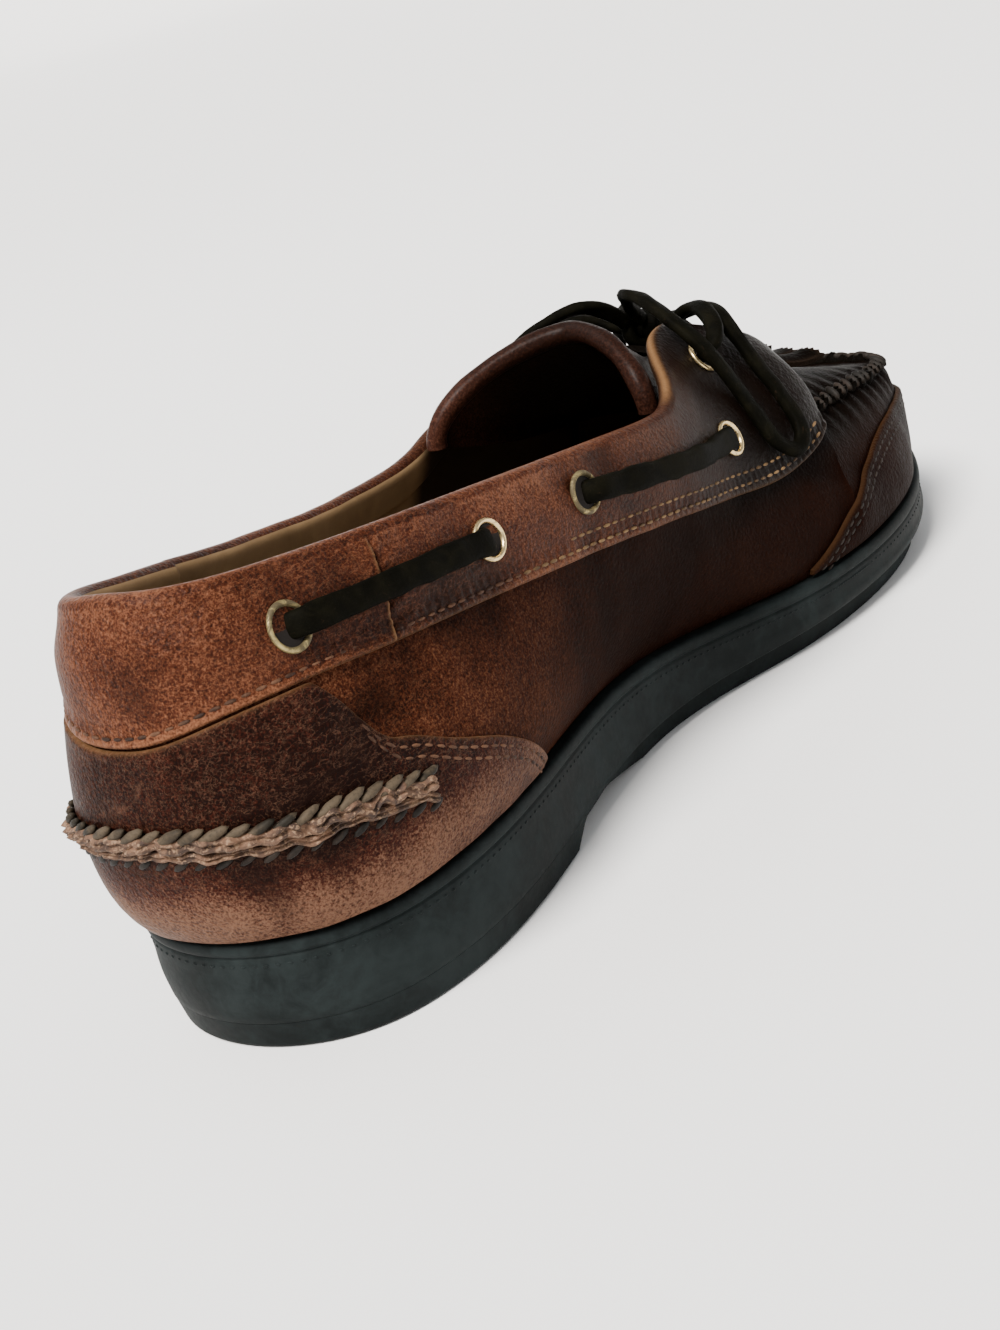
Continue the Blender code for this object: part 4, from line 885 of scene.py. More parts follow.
def make_sole_wall(finish):
    """The rubber wall with its rolled rim, groove and moulded line."""
    turns = sole_turns(SOLE_COLUMNS_FINE)
    top = rim_top(turns) * COLLAR_HEIGHT
    plan, _ = outline(turns, WALL_FOOT_INSET)
    foot = lift_at(plan) + TREAD + GAP
    profile = np.array(SIDE_PROFILE) * MM
    rings = [ring_at(turns, inset, top - depth) for inset, depth in profile]
    last_inset, last_depth = profile[-1]
    for share in np.linspace(0, 1, WALL_ROWS + 1)[1:]:
        level = (top - last_depth) * (1 - share) + (foot - FOOT_BEVEL) * share
        bulge = SIDE_BULGE * math.sin(math.pi * share)
        inset = last_inset * (1 - share) + WALL_FOOT_INSET * share - bulge
        rings.append(ring_at(turns, inset, level))
    rings.append(ring_at(turns, WALL_FOOT_INSET + FOOT_BEVEL, foot - FOOT_LAP))
    piece = Piece()
    piece.body(rings)
    return piece.make("sole_wall", finish)


def make_tread(finish):
    """The tread: flat under heel and ball, lifted at the arch, set back at the toe."""
    turns = sole_turns(SOLE_COLUMNS_FINE)
    share = share_of(turns)
    back = TOE_SETBACK * np.clip((share - SETBACK_FROM) / (1 - SETBACK_FROM), 0, 1) ** 2
    low = arch(share)
    steps = [(TREAD_TAPER * down, TREAD * (1 - down) + (low + TREAD_EDGE) * down)
             for down in TREAD_ROWS]
    steps += [(TREAD_TAPER + TREAD_EDGE * x, low + TREAD_EDGE * (1 - y))
              for x, y in TREAD_BEVEL]
    rings = []
    for further, level in steps:
        plan, _ = outline(turns, (tread_inset(share) + further)[:, None])
        plan[:, 1] -= back
        rings.append(np.column_stack([plan, lift_at(plan) + level]))
    piece = Piece()
    piece.body(rings)
    return piece.make("tread", finish)


def make_footbed(finish):
    """The footbed, cupped up along its edges."""
    half = sole_turns(FOOTBED_COLUMNS)[1:FOOTBED_COLUMNS]
    medial, _ = outline(half, INSOLE_INSET)
    lateral, _ = outline(2 * math.pi - half, INSOLE_INSET)
    across = np.linspace(0, 1, FOOTBED_ROWS)[:, None, None]
    plan = medial * (1 - across) + lateral * across
    floor = np.interp(plan[..., 1], medial[:, 1], rim_top(half) * COLLAR_HEIGHT + GAP)
    cup = np.abs(2 * across[..., 0] - 1) ** 4 * FOOTBED_CUP
    waves = unevenness(np.concatenate([plan, floor[..., None]], -1), 26 * MM, 8) * 0.3 * MM
    top = np.concatenate([plan, (floor + INSOLE_WALL + cup + waves)[..., None]], -1)
    low = np.concatenate([plan, floor[..., None]], -1)
    piece = Piece()
    piece.slab(top, low)
    return piece.make("footbed", finish)


# ---------------------------------------------------------------- the upper's shell
SHELL_BEHIND = 190            # columns on each side, behind the raised seam's start and ahead
SHELL_AHEAD = 90
SHELL_ROWS = 46
PLUG_COLUMNS = 37
PLUG_FLAP = 7.0 * MM
SEAM_FINE = 2000              # steps in which the raised seam is measured
PUCKER_PITCH = 6.4 * MM
PUCKER_REACH = 7.0 * MM
PUCKER_DEPTH = 0.55 * MM
PUCKER_RUN = 0.1              # turn over which the puckers grow from nothing
PLUG_WIDTH = 60 * MM
FLAP_SHARES = (1.0, 0.6, 0.25)  # rows of the flap, from its far end
FLAP_SPREAD = 2.6 * MM


def roll_radius(turns):
    """The collar's rolled edge is thicker at the heel than on the tabs."""
    tab = smooth_step(*TAB_THIN, share_of(turns))
    return COLLAR_ROLL * (1 - tab) + TAB_ROLL * tab


def toe_puckers(turns, below):
    """The leather is gathered along the raised seam: height of the small puckers below it."""
    fine = np.linspace(0, 2 * math.pi, SEAM_FINE)
    length = np.interp(turns, fine, lengths_along(top_edge(fine)))
    ahead = smooth_step(SEAM_TURN, SEAM_TURN + PUCKER_RUN, turns) \
        * smooth_step(SEAM_TURN, SEAM_TURN + PUCKER_RUN, 2 * math.pi - turns)
    wave = np.sin(2 * math.pi * length / PUCKER_PITCH)
    return PUCKER_DEPTH * wave * ahead * np.exp(-(below / PUCKER_REACH) ** 2)


def make_shell(outer, lining):
    """Quarters and vamp wall with their lining, and the plug, as closed sheets."""
    behind = even_turns(0, SEAM_TURN, SHELL_BEHIND)
    ahead = even_turns(SEAM_TURN, math.pi, SHELL_AHEAD)
    medial = np.concatenate([behind[:-1], ahead])
    turns = np.concatenate([medial, 2 * math.pi - medial[-2:0:-1]])
    behind_it = np.abs(signed_turn(turns))
    under_roll = (COLLAR_ROLL + 0.15 * MM) / edge_slant(turns)
    under_roll *= 1 - smooth_step(BAND_END, SEAM_TURN, behind_it)
    lines = reach_lines(turns)
    end = reached(climb(turns, 1.0, -under_roll), *lines)
    places = end[None] * np.linspace(0, 1, SHELL_ROWS)[:, None]
    rises = risen(places.T, *lines).T
    around = np.broadcast_to(turns, rises.shape)
    pucker = toe_puckers(around, end[None] - places)
    sides, depth = leather_at(around, rises, pucker)
    inner, _ = leather_at(around, rises, pucker - UPPER_WALL)
    piece = Piece()
    # painted shade in the creases and in the hollows of the puckers, painted light on their crests
    crease = np.clip(depth - pucker / PUCKER_DEPTH * 0.6, -1, 1)
    piece.slab(sides, inner, around=True, slots=(0, 1), crease=crease)

    across = np.linspace(0, 1, PLUG_COLUMNS)
    plug_turn, plug_across = np.meshgrid(ahead, across, indexing="ij")
    base = plug(plug_turn, plug_across)
    over = plug_normal(plug_turn, plug_across)
    soft = unevenness(base, 30 * MM, 11) * 0.4 * MM
    edge = np.minimum(plug_across, 1 - plug_across)
    gather = toe_puckers(plug_turn, edge * PLUG_WIDTH) * 0.7
    high = (soft * smooth_step(0, 0.1, edge) + gather)[..., None]
    # the plug reaches back under the tabs and the tongue
    share = np.array(FLAP_SHARES)[:, None, None]
    inwards = np.zeros_like(base[0])
    inwards[:, 0] = -np.sign(base[0, :, 0]) * (1 - smooth_step(0, 0.2, edge[0]))
    flap = base[0] + unit(base[0] - base[1]) * share * PLUG_FLAP \
        + (inwards - over[0] * 0.6) * np.sqrt(share) * FLAP_SPREAD
    base = np.concatenate([flap, base])
    over, high = (np.concatenate([np.repeat(grid[:1], len(flap), axis=0), grid])
                  for grid in (over, high))
    gather = np.concatenate([np.zeros_like(gather[:len(flap)]), gather])
    # painted shade in the hollows of the gathers along the raised seam, painted light on their
    # crests
    piece.slab(base + over * high, base + over * (high - UPPER_WALL), slots=(0, 1),
               crease=np.clip(-gather / PUCKER_DEPTH, -1, 1))
    return piece.make("shell", outer, lining)


# ---------------------------------------------------------------- overlays
BAND_COLUMNS = 960
BAND_GATHER = 2.6 * MM        # pitch of the small gathers along the band's stitches
GATHER_DEPTH = 0.28 * MM
BAND_PILLOW = 0.9 * MM
PILLOW_RISE = (3 * MM, 14 * MM)  # above the lower edge
# the band's joint behind the second eyelet: foot at its top and lower end, step and soft width
JOINT_FOOT = (0.157, 0.139)
JOINT_STEP = 1.15 * MM
JOINT_FADE = 9 * MM           # behind the joint the upper layer thins out over this
JOINT_ROLL = 0.4 * MM
JOINT_PUCKER = 5.0 * MM
PUCKER_HIGH = 0.34 * MM
JOINT_GROOVE = 0.6 * MM
BAND_ROWS = 24
COUNTER_COLUMNS = 190
COUNTER_ROWS = 20
COUNTER_GAP = 0.5 * MM
GUARD_COLUMNS = 240
GUARD_ROWS = 14
# stitch rows: distance from the overlay's edge
BAND_STITCHES = (2.0 * MM, 4.8 * MM)
COUNTER_STITCHES = (2.2 * MM, 4.6 * MM)
GUARD_STITCHES = (2.0 * MM, 4.2 * MM)


# lengths of waves and how far they sway
JOINT_SWAY = (5.0 * MM, 0.3 * MM)
GATHER_SWAY = (9 * MM, 0.7)
# middles and widths of soft stripes, from the joint, the band's lower edge or round its roll
GROOVE_STRIPE = (-0.5 * MM, 0.4 * MM)
RAW_STRIPE = (0.2 * MM, 0.4 * MM)
GATHER_STRIPE = (2.6 * MM, 1.8 * MM)
# painted highlight along the band's lower edge
RIDGE_HIGHLIGHT_STRIPE = (0.9 * MM, 0.6 * MM)
# round the roll's crest: raw edge on the tabs, wear with a painted highlight behind them
CREST_STRIPE = (1.2, 0.5)
# starts and ends of even turns
STEP_RUN = (-0.25 * MM, 0.25 * MM)
ROLL_RUN = (-0.3 * MM, 0.3 * MM)
PILLOW_TOP = (0, 9 * MM)      # below the rolled top
JOINT_TOP = (-2 * MM, 3 * MM)
TAB_WORN = (0.505, 0.545)     # shares of the sole's length


def stripe(value, middle, width):
    """1 at the middle of a soft stripe, and nothing well away from it."""
    return np.exp(-((value - middle) / width) ** 2)


def cut_edge(distance):
    """Share of the leather's thickness at a distance from its cut edge."""
    share = np.clip(distance / EDGE_ROUND, 0, 1)
    return EDGE_FLOOR + (1 - EDGE_FLOOR) * np.sqrt(1 - (1 - share) ** 2)


def sunk_rows(distance, rows):
    """How far the stitch rows pull the leather in."""
    return sum(STITCH_SINK * stripe(distance, row, STITCH_GROOVE) for row in rows)


def band_lift(below):
    """Height of the band's face over the wall, away from its rolled top."""
    pillow = BAND_PILLOW * smooth_step(4 * MM, 14 * MM, below)
    return GAP + OVERLAY_WALL + pillow - sunk_rows(below, BAND_STITCHES)


def joint_at(turns, below, above):
    """Distance behind the band's joint at each point, negative ahead of it."""
    share = share_of(signed_turn(turns))
    down = above / (above + below)
    line = JOINT_FOOT[0] + (JOINT_FOOT[1] - JOINT_FOOT[0]) * down
    return (line - share) * SOLE_LENGTH


def band_joint(turns, below, above):
    """Height of the joint's step and of the small puckers ahead of it, and its raw edge."""
    behind = joint_at(turns, below, above)
    wave, reach = JOINT_SWAY
    behind = behind + unevenness(np.stack([behind * 0.4, below, above * 0], -1), wave, 71) * reach
    step = JOINT_STEP * smooth_step(*STEP_RUN, behind) \
        * np.exp(-np.clip(behind, 0, None) / JOINT_FADE)
    ahead = np.exp(-(np.clip(-behind, 0, None) / JOINT_PUCKER) ** 2) * (behind < 0)
    puckers = np.sin(below * 2 * math.pi / (4.2 * MM) + behind / (1.6 * MM)) * PUCKER_HIGH
    groove = JOINT_GROOVE * stripe(behind, *GROOVE_STRIPE)
    return step + puckers * ahead - groove, stripe(behind, *RAW_STRIPE)


def band_roll(turns):
    """Radius of the band's rolled top, thicker just behind the joint."""
    behind = joint_at(turns, 1.0, 0.0)
    step = smooth_step(*ROLL_RUN, behind)
    return roll_radius(turns) + JOINT_ROLL * step * np.exp(-np.clip(behind, 0, None) / JOINT_FADE)


def band_gathers(seam, below):
    """How deep the small gathers along the band's stitches press it in."""
    wave, amount = GATHER_SWAY
    phase = math.pi * lengths_along(seam) / BAND_GATHER + unevenness(seam, wave, 72) * amount
    return GATHER_DEPTH * np.sin(phase) ** 2 * stripe(below, *GATHER_STRIPE)


def collar_facing(turns, centre_rise, roll):
    """The collar's leather where it turns down inside: its face, its back and its creases."""
    further, rounded = np.array(FACING_END).T
    down = np.append(np.linspace(0, FACING_DEPTH, FACING_STEPS + 1)[1:],
                     FACING_DEPTH + further * MM)
    rises = np.array([climb(turns, centre_rise, -step) for step in down])
    around = np.broadcast_to(turns, rises.shape)
    end_round = np.append(np.zeros(FACING_STEPS), rounded)[:, None]
    lift = GAP + OVERLAY_WALL - 2 * roll + end_round * (2 * roll - FACING_THICK)
    face, depth = leather_at(around, rises, lift)
    back, _ = leather_at(around, rises, -FACING_BACK)
    return face, back, depth


def make_collar_band(leather, lining):
    """The collar's band: outer face, rolled top edge and the facing turned down inside."""
    turns, from_end = fine_ends(-BAND_END, BAND_END, BAND_COLUMNS)
    roll = band_roll(turns)
    centre_rise = climb(turns, 1.0, -roll / edge_slant(turns))
    low = rise_at(turns, band_seam(turns))
    rises, below, above = rows_between(turns, low, centre_rise, BAND_ROWS, fine_top=False)
    around = np.broadcast_to(turns, rises.shape)
    flat_top = smooth_step(*PILLOW_TOP, above)
    near_top = smooth_step(*JOINT_TOP, above)
    lift = GAP + OVERLAY_WALL + BAND_PILLOW * flat_top * smooth_step(*PILLOW_RISE, below)
    lift -= sunk_rows(below, BAND_STITCHES)
    joint, joint_raw = band_joint(around, below, above)
    lift += joint * near_top
    lift -= band_gathers(wall(turns, low), below)
    thick = np.minimum(cut_edge(below), cut_edge(np.broadcast_to(from_end, below.shape)))
    face, depth = leather_at(around, rises, lift - OVERLAY_WALL * (1 - thick))
    under, _ = leather_at(around, rises, GAP)
    raw_edge = 0.3 * np.exp(-np.minimum(below, from_end) / (0.35 * MM))
    raw_edge = np.maximum(raw_edge, joint_raw * near_top)

    centre, _ = leather_at(turns, centre_rise, GAP + OVERLAY_WALL - roll)
    outward = wall_normal(turns, centre_rise)
    away = edge_out(turns)
    angle = np.linspace(0, math.pi, ROLL_STEPS + 1)[1:, None, None]
    inside_from = len(face) + ROLL_STEPS * 2 // 3
    ring = np.cos(angle) * outward + np.sin(angle) * away
    rolled = centre + ring * roll[:, None]
    rolled_in = centre + ring * (roll - OVERLAY_WALL + 0.2 * MM)[:, None]
    crest = np.broadcast_to(stripe(angle[..., 0], *CREST_STRIPE), rolled.shape[:-1])
    tab = smooth_step(*TAB_WORN, share_of(turns))

    facing, facing_in, facing_depth = collar_facing(turns, centre_rise, roll)
    outer = np.concatenate([face, rolled, facing])
    inner = np.concatenate([under, rolled_in, facing_in])
    zero = np.zeros(rolled.shape[:-1])
    edge = np.concatenate([raw_edge, crest * tab * 0.9, np.zeros(facing.shape[:-1])])
    # painted highlight along the band's lower edge; near the top edge the wear value is wear, and
    # round the roll's crest behind the tabs it is wear with a painted highlight
    ridge_highlight = stripe(below, *RIDGE_HIGHLIGHT_STRIPE) * 0.9
    wear = np.concatenate([np.exp(-above / (5 * MM)) * 0.5 + ridge_highlight, crest * (1 - tab),
                           np.zeros(facing.shape[:-1])])
    # painted shade in the creases, painted light on their ridges
    crease = np.concatenate([depth, zero, facing_depth])
    piece = Piece()
    piece.slab(outer, inner, edge=edge, wear=wear, crease=crease)
    columns = len(turns) - 1
    for number in range(inside_from * columns, (len(outer) - 1) * columns):
        piece.slots[number] = 1
    return piece.make("band", leather, lining)


def make_overlay(name, leather, turns, from_end, low, high, rows, stitches, lift=GAP, raw=0.5):
    """A piece of leather with cut edges, on the upper's own face between two lines."""
    rises, below, above = rows_between(turns, low, high, rows)
    around = np.broadcast_to(turns, rises.shape)
    near = np.minimum(np.minimum(below, above), from_end)
    full = OVERLAY_WALL - sunk_rows(above, stitches)
    face, depth = leather_at(around, rises, lift + full * cut_edge(near))
    under, _ = leather_at(around, rises, lift)
    edge = raw * np.exp(-np.minimum(above, from_end) / (0.3 * MM))
    wear = np.exp(-above / (2.5 * MM)) * raw * 0.6
    piece = Piece()
    # the crease value paints shade in the creases and light on their ridges
    piece.slab(face, under, edge=edge, wear=wear, crease=depth)
    return piece.make(name, leather)


def counter_lines(turns):
    """Lower and upper lines of the heel counter."""
    low = rise_at(turns, rim_top(turns) * COLLAR_HEIGHT + COUNTER_FOOT)
    edge = np.minimum(line_height(COUNTER_EDGE, turns), band_seam(turns) - COUNTER_GAP)
    return low, rise_at(turns, edge)


def make_counter(leather):
    """The heel counter."""
    front = turn_of(COUNTER_FRONT)
    turns, from_end = fine_ends(-front, front, COUNTER_COLUMNS)
    low, high = counter_lines(turns)
    return make_overlay("counter", leather, turns, from_end, low, high, COUNTER_ROWS,
                        COUNTER_STITCHES, COUNTER_LIFT)


def guard_lines(turns):
    """Lower and upper lines of the toe guard."""
    low = rise_at(turns, rim_top(turns) * COLLAR_HEIGHT + GUARD_FOOT)
    return low, rise_at(turns, line_height(GUARD_EDGE, turns))


def make_guard(leather):
    """The toe guard."""
    start = turn_of(GUARD_START)
    turns, from_end = fine_ends(start, 2 * math.pi - start, GUARD_COLUMNS)
    low, high = guard_lines(turns)
    return make_overlay("guard", leather, turns, from_end, low, high, GUARD_ROWS, GUARD_STITCHES,
                        raw=0.12)


# ---------------------------------------------------------------- tongue and kiltie
TONGUE_ROWS = 46
TONGUE_ACROSS = 45
RIM_RADIUS = 2.6 * MM
RIM_SIDES = 16
RIM_SINK = 0.5 * MM           # the tongue is pressed in beside its rim
RIM_GROOVE = 1.2 * MM
FLAP_ROWS = 26
FLAP_COLUMNS = 41
FLAP_LAP = 0.006              # the flap runs on under the roots of its strips
FRINGE_ROWS = 15
FRINGE_COLUMNS = 9
TOOTH = 1.3 * MM              # depth of the pinked teeth
# shares of a strip's length from which it has teeth and curls
TEETH_FROM = 0.8
CURL_FROM = 0.75
RISE_POWER = 2.2
STRIP_BOW = 0.5 * MM
STRIP_LENGTH = 20 * MM
# for each strip from the lateral side: rise of its tip, how far it curls, its sideways lean
FRINGE_CURLS = (
    (0.8, 0.3, -1.2), (1.5, 0.5, -0.5), (1.0, 0.3, 0.4), (2.2, 0.6, -0.3),
    (1.3, 0.4, 0.5), (1.9, 0.6, 0.0), (1.1, 0.4, 0.8), (1.5, 0.5, 1.2),
)


def sheet_normal(points):
    """Normals of a grid of points, upwards."""
    return upwards(np.cross(np.gradient(points, axis=0), np.gradient(points, axis=1)))


def make_tongue(leather):
    """The tongue with the thick rolled rim at its end."""
    along = np.linspace(TONGUE_SECTIONS[0][0], TONGUE_SECTIONS[-1][0], TONGUE_ROWS)
    across = np.sin(np.linspace(-math.pi / 2, math.pi / 2, TONGUE_ACROSS))
    grid_along, grid_across = np.meshgrid(along, across, indexing="ij")
    base = tongue_points(grid_along, grid_across)
    normal = sheet_normal(base)
    soft = unevenness(base, 24 * MM, 21) * 0.35 * MM
    to_rim = np.linalg.norm(base - base[-1], axis=-1)
    sunk = RIM_SINK * stripe(to_rim, RIM_RADIUS + RIM_GROOVE, 1.0 * MM)
    outer = base + normal * (soft - sunk)[..., None]
    inner = base + normal * (soft - TONGUE_WALL)[..., None]
    piece = Piece()
    # painted shade in the groove beside the rim and in hollows, painted light on the bumps
    crease = np.clip((sunk - soft) / RIM_SINK, -1, 1)
    piece.slab(outer, inner, crease=crease)
    path = base[-1] - normal[-1] * RIM_RADIUS * 0.55
    ahead = unit(np.gradient(path, axis=0))
    back = unit(base[-1] - base[-3])
    over = unit(np.cross(ahead, back))
    back = np.cross(over, ahead)
    angles = circle(RIM_SIDES)[None, :, None]
    wobble = 1 + 0.05 * unevenness(path, 9 * MM, 4)[:, None, None]
    ring = np.cos(angles) * back[:, None] + np.sin(angles) * over[:, None]
    piece.tube(path[:, None] + ring * RIM_RADIUS * wobble, wear=0.35)
    return piece.make("tongue_sheet", leather)


def make_kiltie(leather):
    """The kiltie: a flap, and its fringe of strips that curl each in its own way."""
    half = KILTIE_SECTIONS[-2][2] * BALL_WIDTH
    cut = FRINGE_CUT / half
    strip = (2 - (FRINGE_STRIPS - 1) * cut) / FRINGE_STRIPS
    piece = Piece()
    along = np.linspace(KILTIE_SECTIONS[0][0], FRINGE_START + FLAP_LAP, FLAP_ROWS)
    across = np.sin(np.linspace(-math.pi / 2, math.pi / 2, FLAP_COLUMNS))
    grid_along, grid_across = np.meshgrid(along, across, indexing="ij")
    base = kiltie_points(grid_along, grid_across)
    normal = sheet_normal(base)
    soft = (unevenness(base, 20 * MM, 31) * 0.4 * MM)[..., None]
    near = np.abs(grid_across)
    edge = np.exp(-(1 - near) * half / (0.5 * MM))
    piece.slab(base + normal * soft, base + normal * (soft - KILTIE_WALL), edge=edge)
    for number, (rise, curl, lean) in enumerate(FRINGE_CURLS):
        first = -1 + number * (strip + cut)
        across = np.linspace(first, first + strip, FRINGE_COLUMNS)
        share = np.linspace(0, 1, FRINGE_ROWS)
        along = FRINGE_START + share * (KILTIE_SECTIONS[-1][0] - FRINGE_START)
        grid_along, grid_across = np.meshgrid(along, across, indexing="ij")
        base = kiltie_points(grid_along, grid_across)
        normal = sheet_normal(base)
        grid_share = np.broadcast_to(share[:, None], grid_along.shape)
        teeth = TOOTH * (np.arange(FRINGE_COLUMNS) % 2) * smooth_step(TEETH_FROM, 1.0, grid_share)
        high = rise * MM * grid_share ** RISE_POWER \
            + curl * MM * smooth_step(CURL_FROM, 1.0, grid_share) \
            + STRIP_BOW * (1 - (2 * (grid_across - first) / strip - 1) ** 2) * grid_share
        moved = base + normal * high[..., None]
        moved[..., 1] -= teeth
        moved[..., 0] += lean * MM * grid_share ** 2
        side = np.minimum(grid_across - first, first + strip - grid_across) * half
        edge = np.exp(-np.minimum(side, (1 - grid_share) * STRIP_LENGTH) / (0.35 * MM))
        piece.slab(moved, moved - normal * KILTIE_WALL, edge=edge)
    return piece.make("kiltie_flap", leather)


# ---------------------------------------------------------------- eyelets and laces
# a ring's section from its outer foot over the top and down the bore: radius, lift
EYELET_SECTION = (
    (4.5, 0.0), (4.56, 0.25), (4.52, 0.5), (4.36, 0.76), (4.1, 0.92), (3.84, 0.9),
    (3.62, 0.72), (3.46, 0.42), (3.38, 0.05), (3.34, -0.35), (3.34, -0.6),
)
RING_SIDES = 40
# painted shade: a dark disc in the bore stands for the shadow inside it
BORE_SHADE_DISC = ((3.45, 0.15), (3.45, -0.15))  # the dark disc in the bore, as in the ring's section
EYELET_STRETCH = (1.12, 1.0, 1.05, 1.0, 1.0)
LACE_WIDTH = 5.4 * MM
LACE_THICKNESS = 3.2 * MM
LACE_SIDES = 16
LACE_SQUARE = 0.62            # under 1 the section is squarer than an ellipse
BAR_STEPS = 44
CORD_WIDTH = 4.1 * MM         # the drier lace of the bow is narrower than on the band
CORD_THICKNESS = 2.8 * MM
CORD_STEP = 1.5 * MM
ROUTE_FINE = 400              # steps in which a route is measured
CORD_SWELL = (14 * MM, 0.05)  # how the lace's size varies: length of its waves, and by how much
CORD_DENTS = (6 * MM, 0.12 * MM)
# each wrap of the knot: place along the crossing, tilt in plan, radius, lean upwards
KNOT_WRAPS = ((2.4, 14, 3.5, 0.0), (-2.4, -18, 3.6, 0.1), (0.1, 62, 3.9, 0.25))
KNOT_STEPS = 40
WRAP_WIDTH = 3.8 * MM
WRAP_THICKNESS = 2.6 * MM
BAR_CLEAR = 0.25 * MM         # between the lace and the band
BAR_DIP = 3.6 * MM            # into the bore at each end, over BAR_END of its length
BAR_END = 3.84 * MM
BAR_BOW = 0.9 * MM            # away from the band in the middle


def eyelet_seat(row, side):
    """Centre of an eyelet on the band's outer face, with the face's normal."""
    turn = np.atleast_1d(turn_of(row[0]) * side)
    rise = rise_at(turn, row[1] * COLLAR_HEIGHT - side_drop(turn))
    below = reach_between(turn, rise_at(turn, band_seam(turn)), rise)
    point, _ = leather_at(turn, rise, band_lift(below))
    return point[0], wall_normal(turn, rise)[0]


def reach_between(turn, low, high):
    """Distance up the wall between two rises of each column."""
    lines = reach_lines(turn)
    return reached(high, *lines) - reached(low, *lines)


def frame_of(normal):
    """Two directions square to a normal, the first level."""
    level = unit(np.cross((0.0, 0.0, 1.0), normal))
    return level, np.cross(normal, level)


def make_eyelet(name, brass, shade_finish, seat, normal, stretch):
    """A turned brass ring, with a dark disc behind it that paints the shade of its bore."""
    level, up = frame_of(normal)
    angles = circle(RING_SIDES)[:, None]
    spoke = np.cos(angles) * level + np.sin(angles) * up * stretch
    rings, shade_disc = ([seat + spoke * radius * MM + normal * lift * MM for radius, lift in section]
                   for section in (EYELET_SECTION, BORE_SHADE_DISC))
    piece = Piece()
    piece.hoop(rings)
    piece.tube(shade_disc, 1)
    return piece.make(name, brass, shade_finish)


def lace_section(width, thickness):
    """The lace's squarish section: places across it and through it."""
    angles = circle(LACE_SIDES)
    return [np.sign(place) * np.abs(place) ** LACE_SQUARE * size / 2
            for place, size in ((np.cos(angles), width), (np.sin(angles), thickness))]


def strap(path, normal, width, thickness, seed):
    """Rings of a square-edged rawhide lace along a path."""
    ahead = unit(np.gradient(path, axis=0))
    across = unit(np.cross(normal, ahead))
    up = np.cross(ahead, across)
    x, y = lace_section(width, thickness)
    wave, amount = CORD_SWELL
    swell = 1 + amount * unevenness(path, wave, seed)[:, None, None]
    wave, deep = CORD_DENTS
    dents = deep * unevenness(path[:, None] + across[:, None] * x[:, None] * 3, wave, seed)
    ring = across[:, None] * x[:, None] + up[:, None] * y[:, None]
    return path[:, None] + ring * swell + unit(ring) * dents[..., None]


def make_lace_bar(name, finish, row_from, row_to, side, seed):
    """The lace outside the band between two eyelets, dipping into both."""
    share = np.linspace(0, 1, BAR_STEPS)
    share = (1 - np.cos(math.pi * share)) / 2
    seats = [eyelet_seat(row, side) for row in (row_from, row_to)]
    turns = turn_of(row_from[0] + (row_to[0] - row_from[0]) * share) * side
    heights = (row_from[1] + (row_to[1] - row_from[1]) * share) * COLLAR_HEIGHT
    heights = heights - side_drop(turns)
    rises = rise_at(turns, heights)
    below = reach_between(turns, rise_at(turns, band_seam(turns)), rises)
    base, _ = leather_at(turns, rises, band_lift(below))
    normal = wall_normal(turns, rises)
    run = BAR_END / np.linalg.norm(seats[1][0] - seats[0][0])
    share_out = np.clip(np.minimum(share, 1 - share) / run, 0, 1)
    high = LACE_THICKNESS / 2 + BAR_CLEAR - BAR_DIP * (1 - share_out) ** 2
    high += BAR_BOW * np.sin(math.pi * share)
    path = base + normal * high[:, None]
    piece = Piece()
    piece.tube(strap(path, normal, LACE_WIDTH, LACE_THICKNESS, seed))
    return piece.make(name, finish)


def through(route, spacing):
    """Points at an even spacing along one smooth curve through a route's points."""
    route = np.array(route) * MM
    reach = lengths_along(route)
    smooth = [spline(reach, route[:, axis]) for axis in range(3)]
    fine = np.linspace(0, reach[-1], ROUTE_FINE)
    points = np.column_stack([axis(fine) for axis in smooth])
    length = lengths_along(points)
    count = max(3, round(length[-1] / spacing) + 1)
    at = np.interp(np.linspace(0, length[-1], count), length, fine)
    return np.column_stack([axis(at) for axis in smooth])


def make_cord(name, finish, path, up, seed):
    """A stretch of lace along a path."""
    piece = Piece()
    piece.tube(strap(path, np.array(up, float), CORD_WIDTH, CORD_THICKNESS, seed))
    return piece.make(name, finish)


def crossing_route():
    """The lace from one front eyelet over the tongue to the other."""
    medial, medial_normal = eyelet_seat(EYELETS[-1], 1)
    lateral, lateral_normal = eyelet_seat(EYELETS[-1], -1)
    return (medial / MM - medial_normal * 1.5, medial / MM + medial_normal * 3.0,
            *CROSSING_ROUTE,
            lateral / MM + lateral_normal * 3.0, lateral / MM - lateral_normal * 1.5)


def make_knot(finish):
    """The knot's wraps round the crossing, and the turn that holds them."""
    centre = np.array(CROSSING_ROUTE[2]) * MM
    piece = Piece()
    angles = circle(KNOT_STEPS)[:, None]
    x, y = lace_section(WRAP_WIDTH, WRAP_THICKNESS)
    for place, tilt, radius, lean in KNOT_WRAPS:
        tilt = math.radians(tilt)
        axis = unit(np.array([math.cos(tilt), math.sin(tilt), lean]))
        side = unit(np.cross(axis, (0.0, 0.0, 1.0)))
        up = np.cross(side, axis)
        spoke = np.cos(angles) * side + np.sin(angles) * up
        path = centre + np.array([place * MM, 0, 0]) + spoke * radius * MM
        ahead = unit(np.roll(path, -1, axis=0) - np.roll(path, 1, axis=0))
        across = np.cross(spoke, ahead)
        piece.hoop(path[:, None] + across[:, None] * x[:, None] + spoke[:, None] * y[:, None])
    return piece.make("knot_wraps", finish)


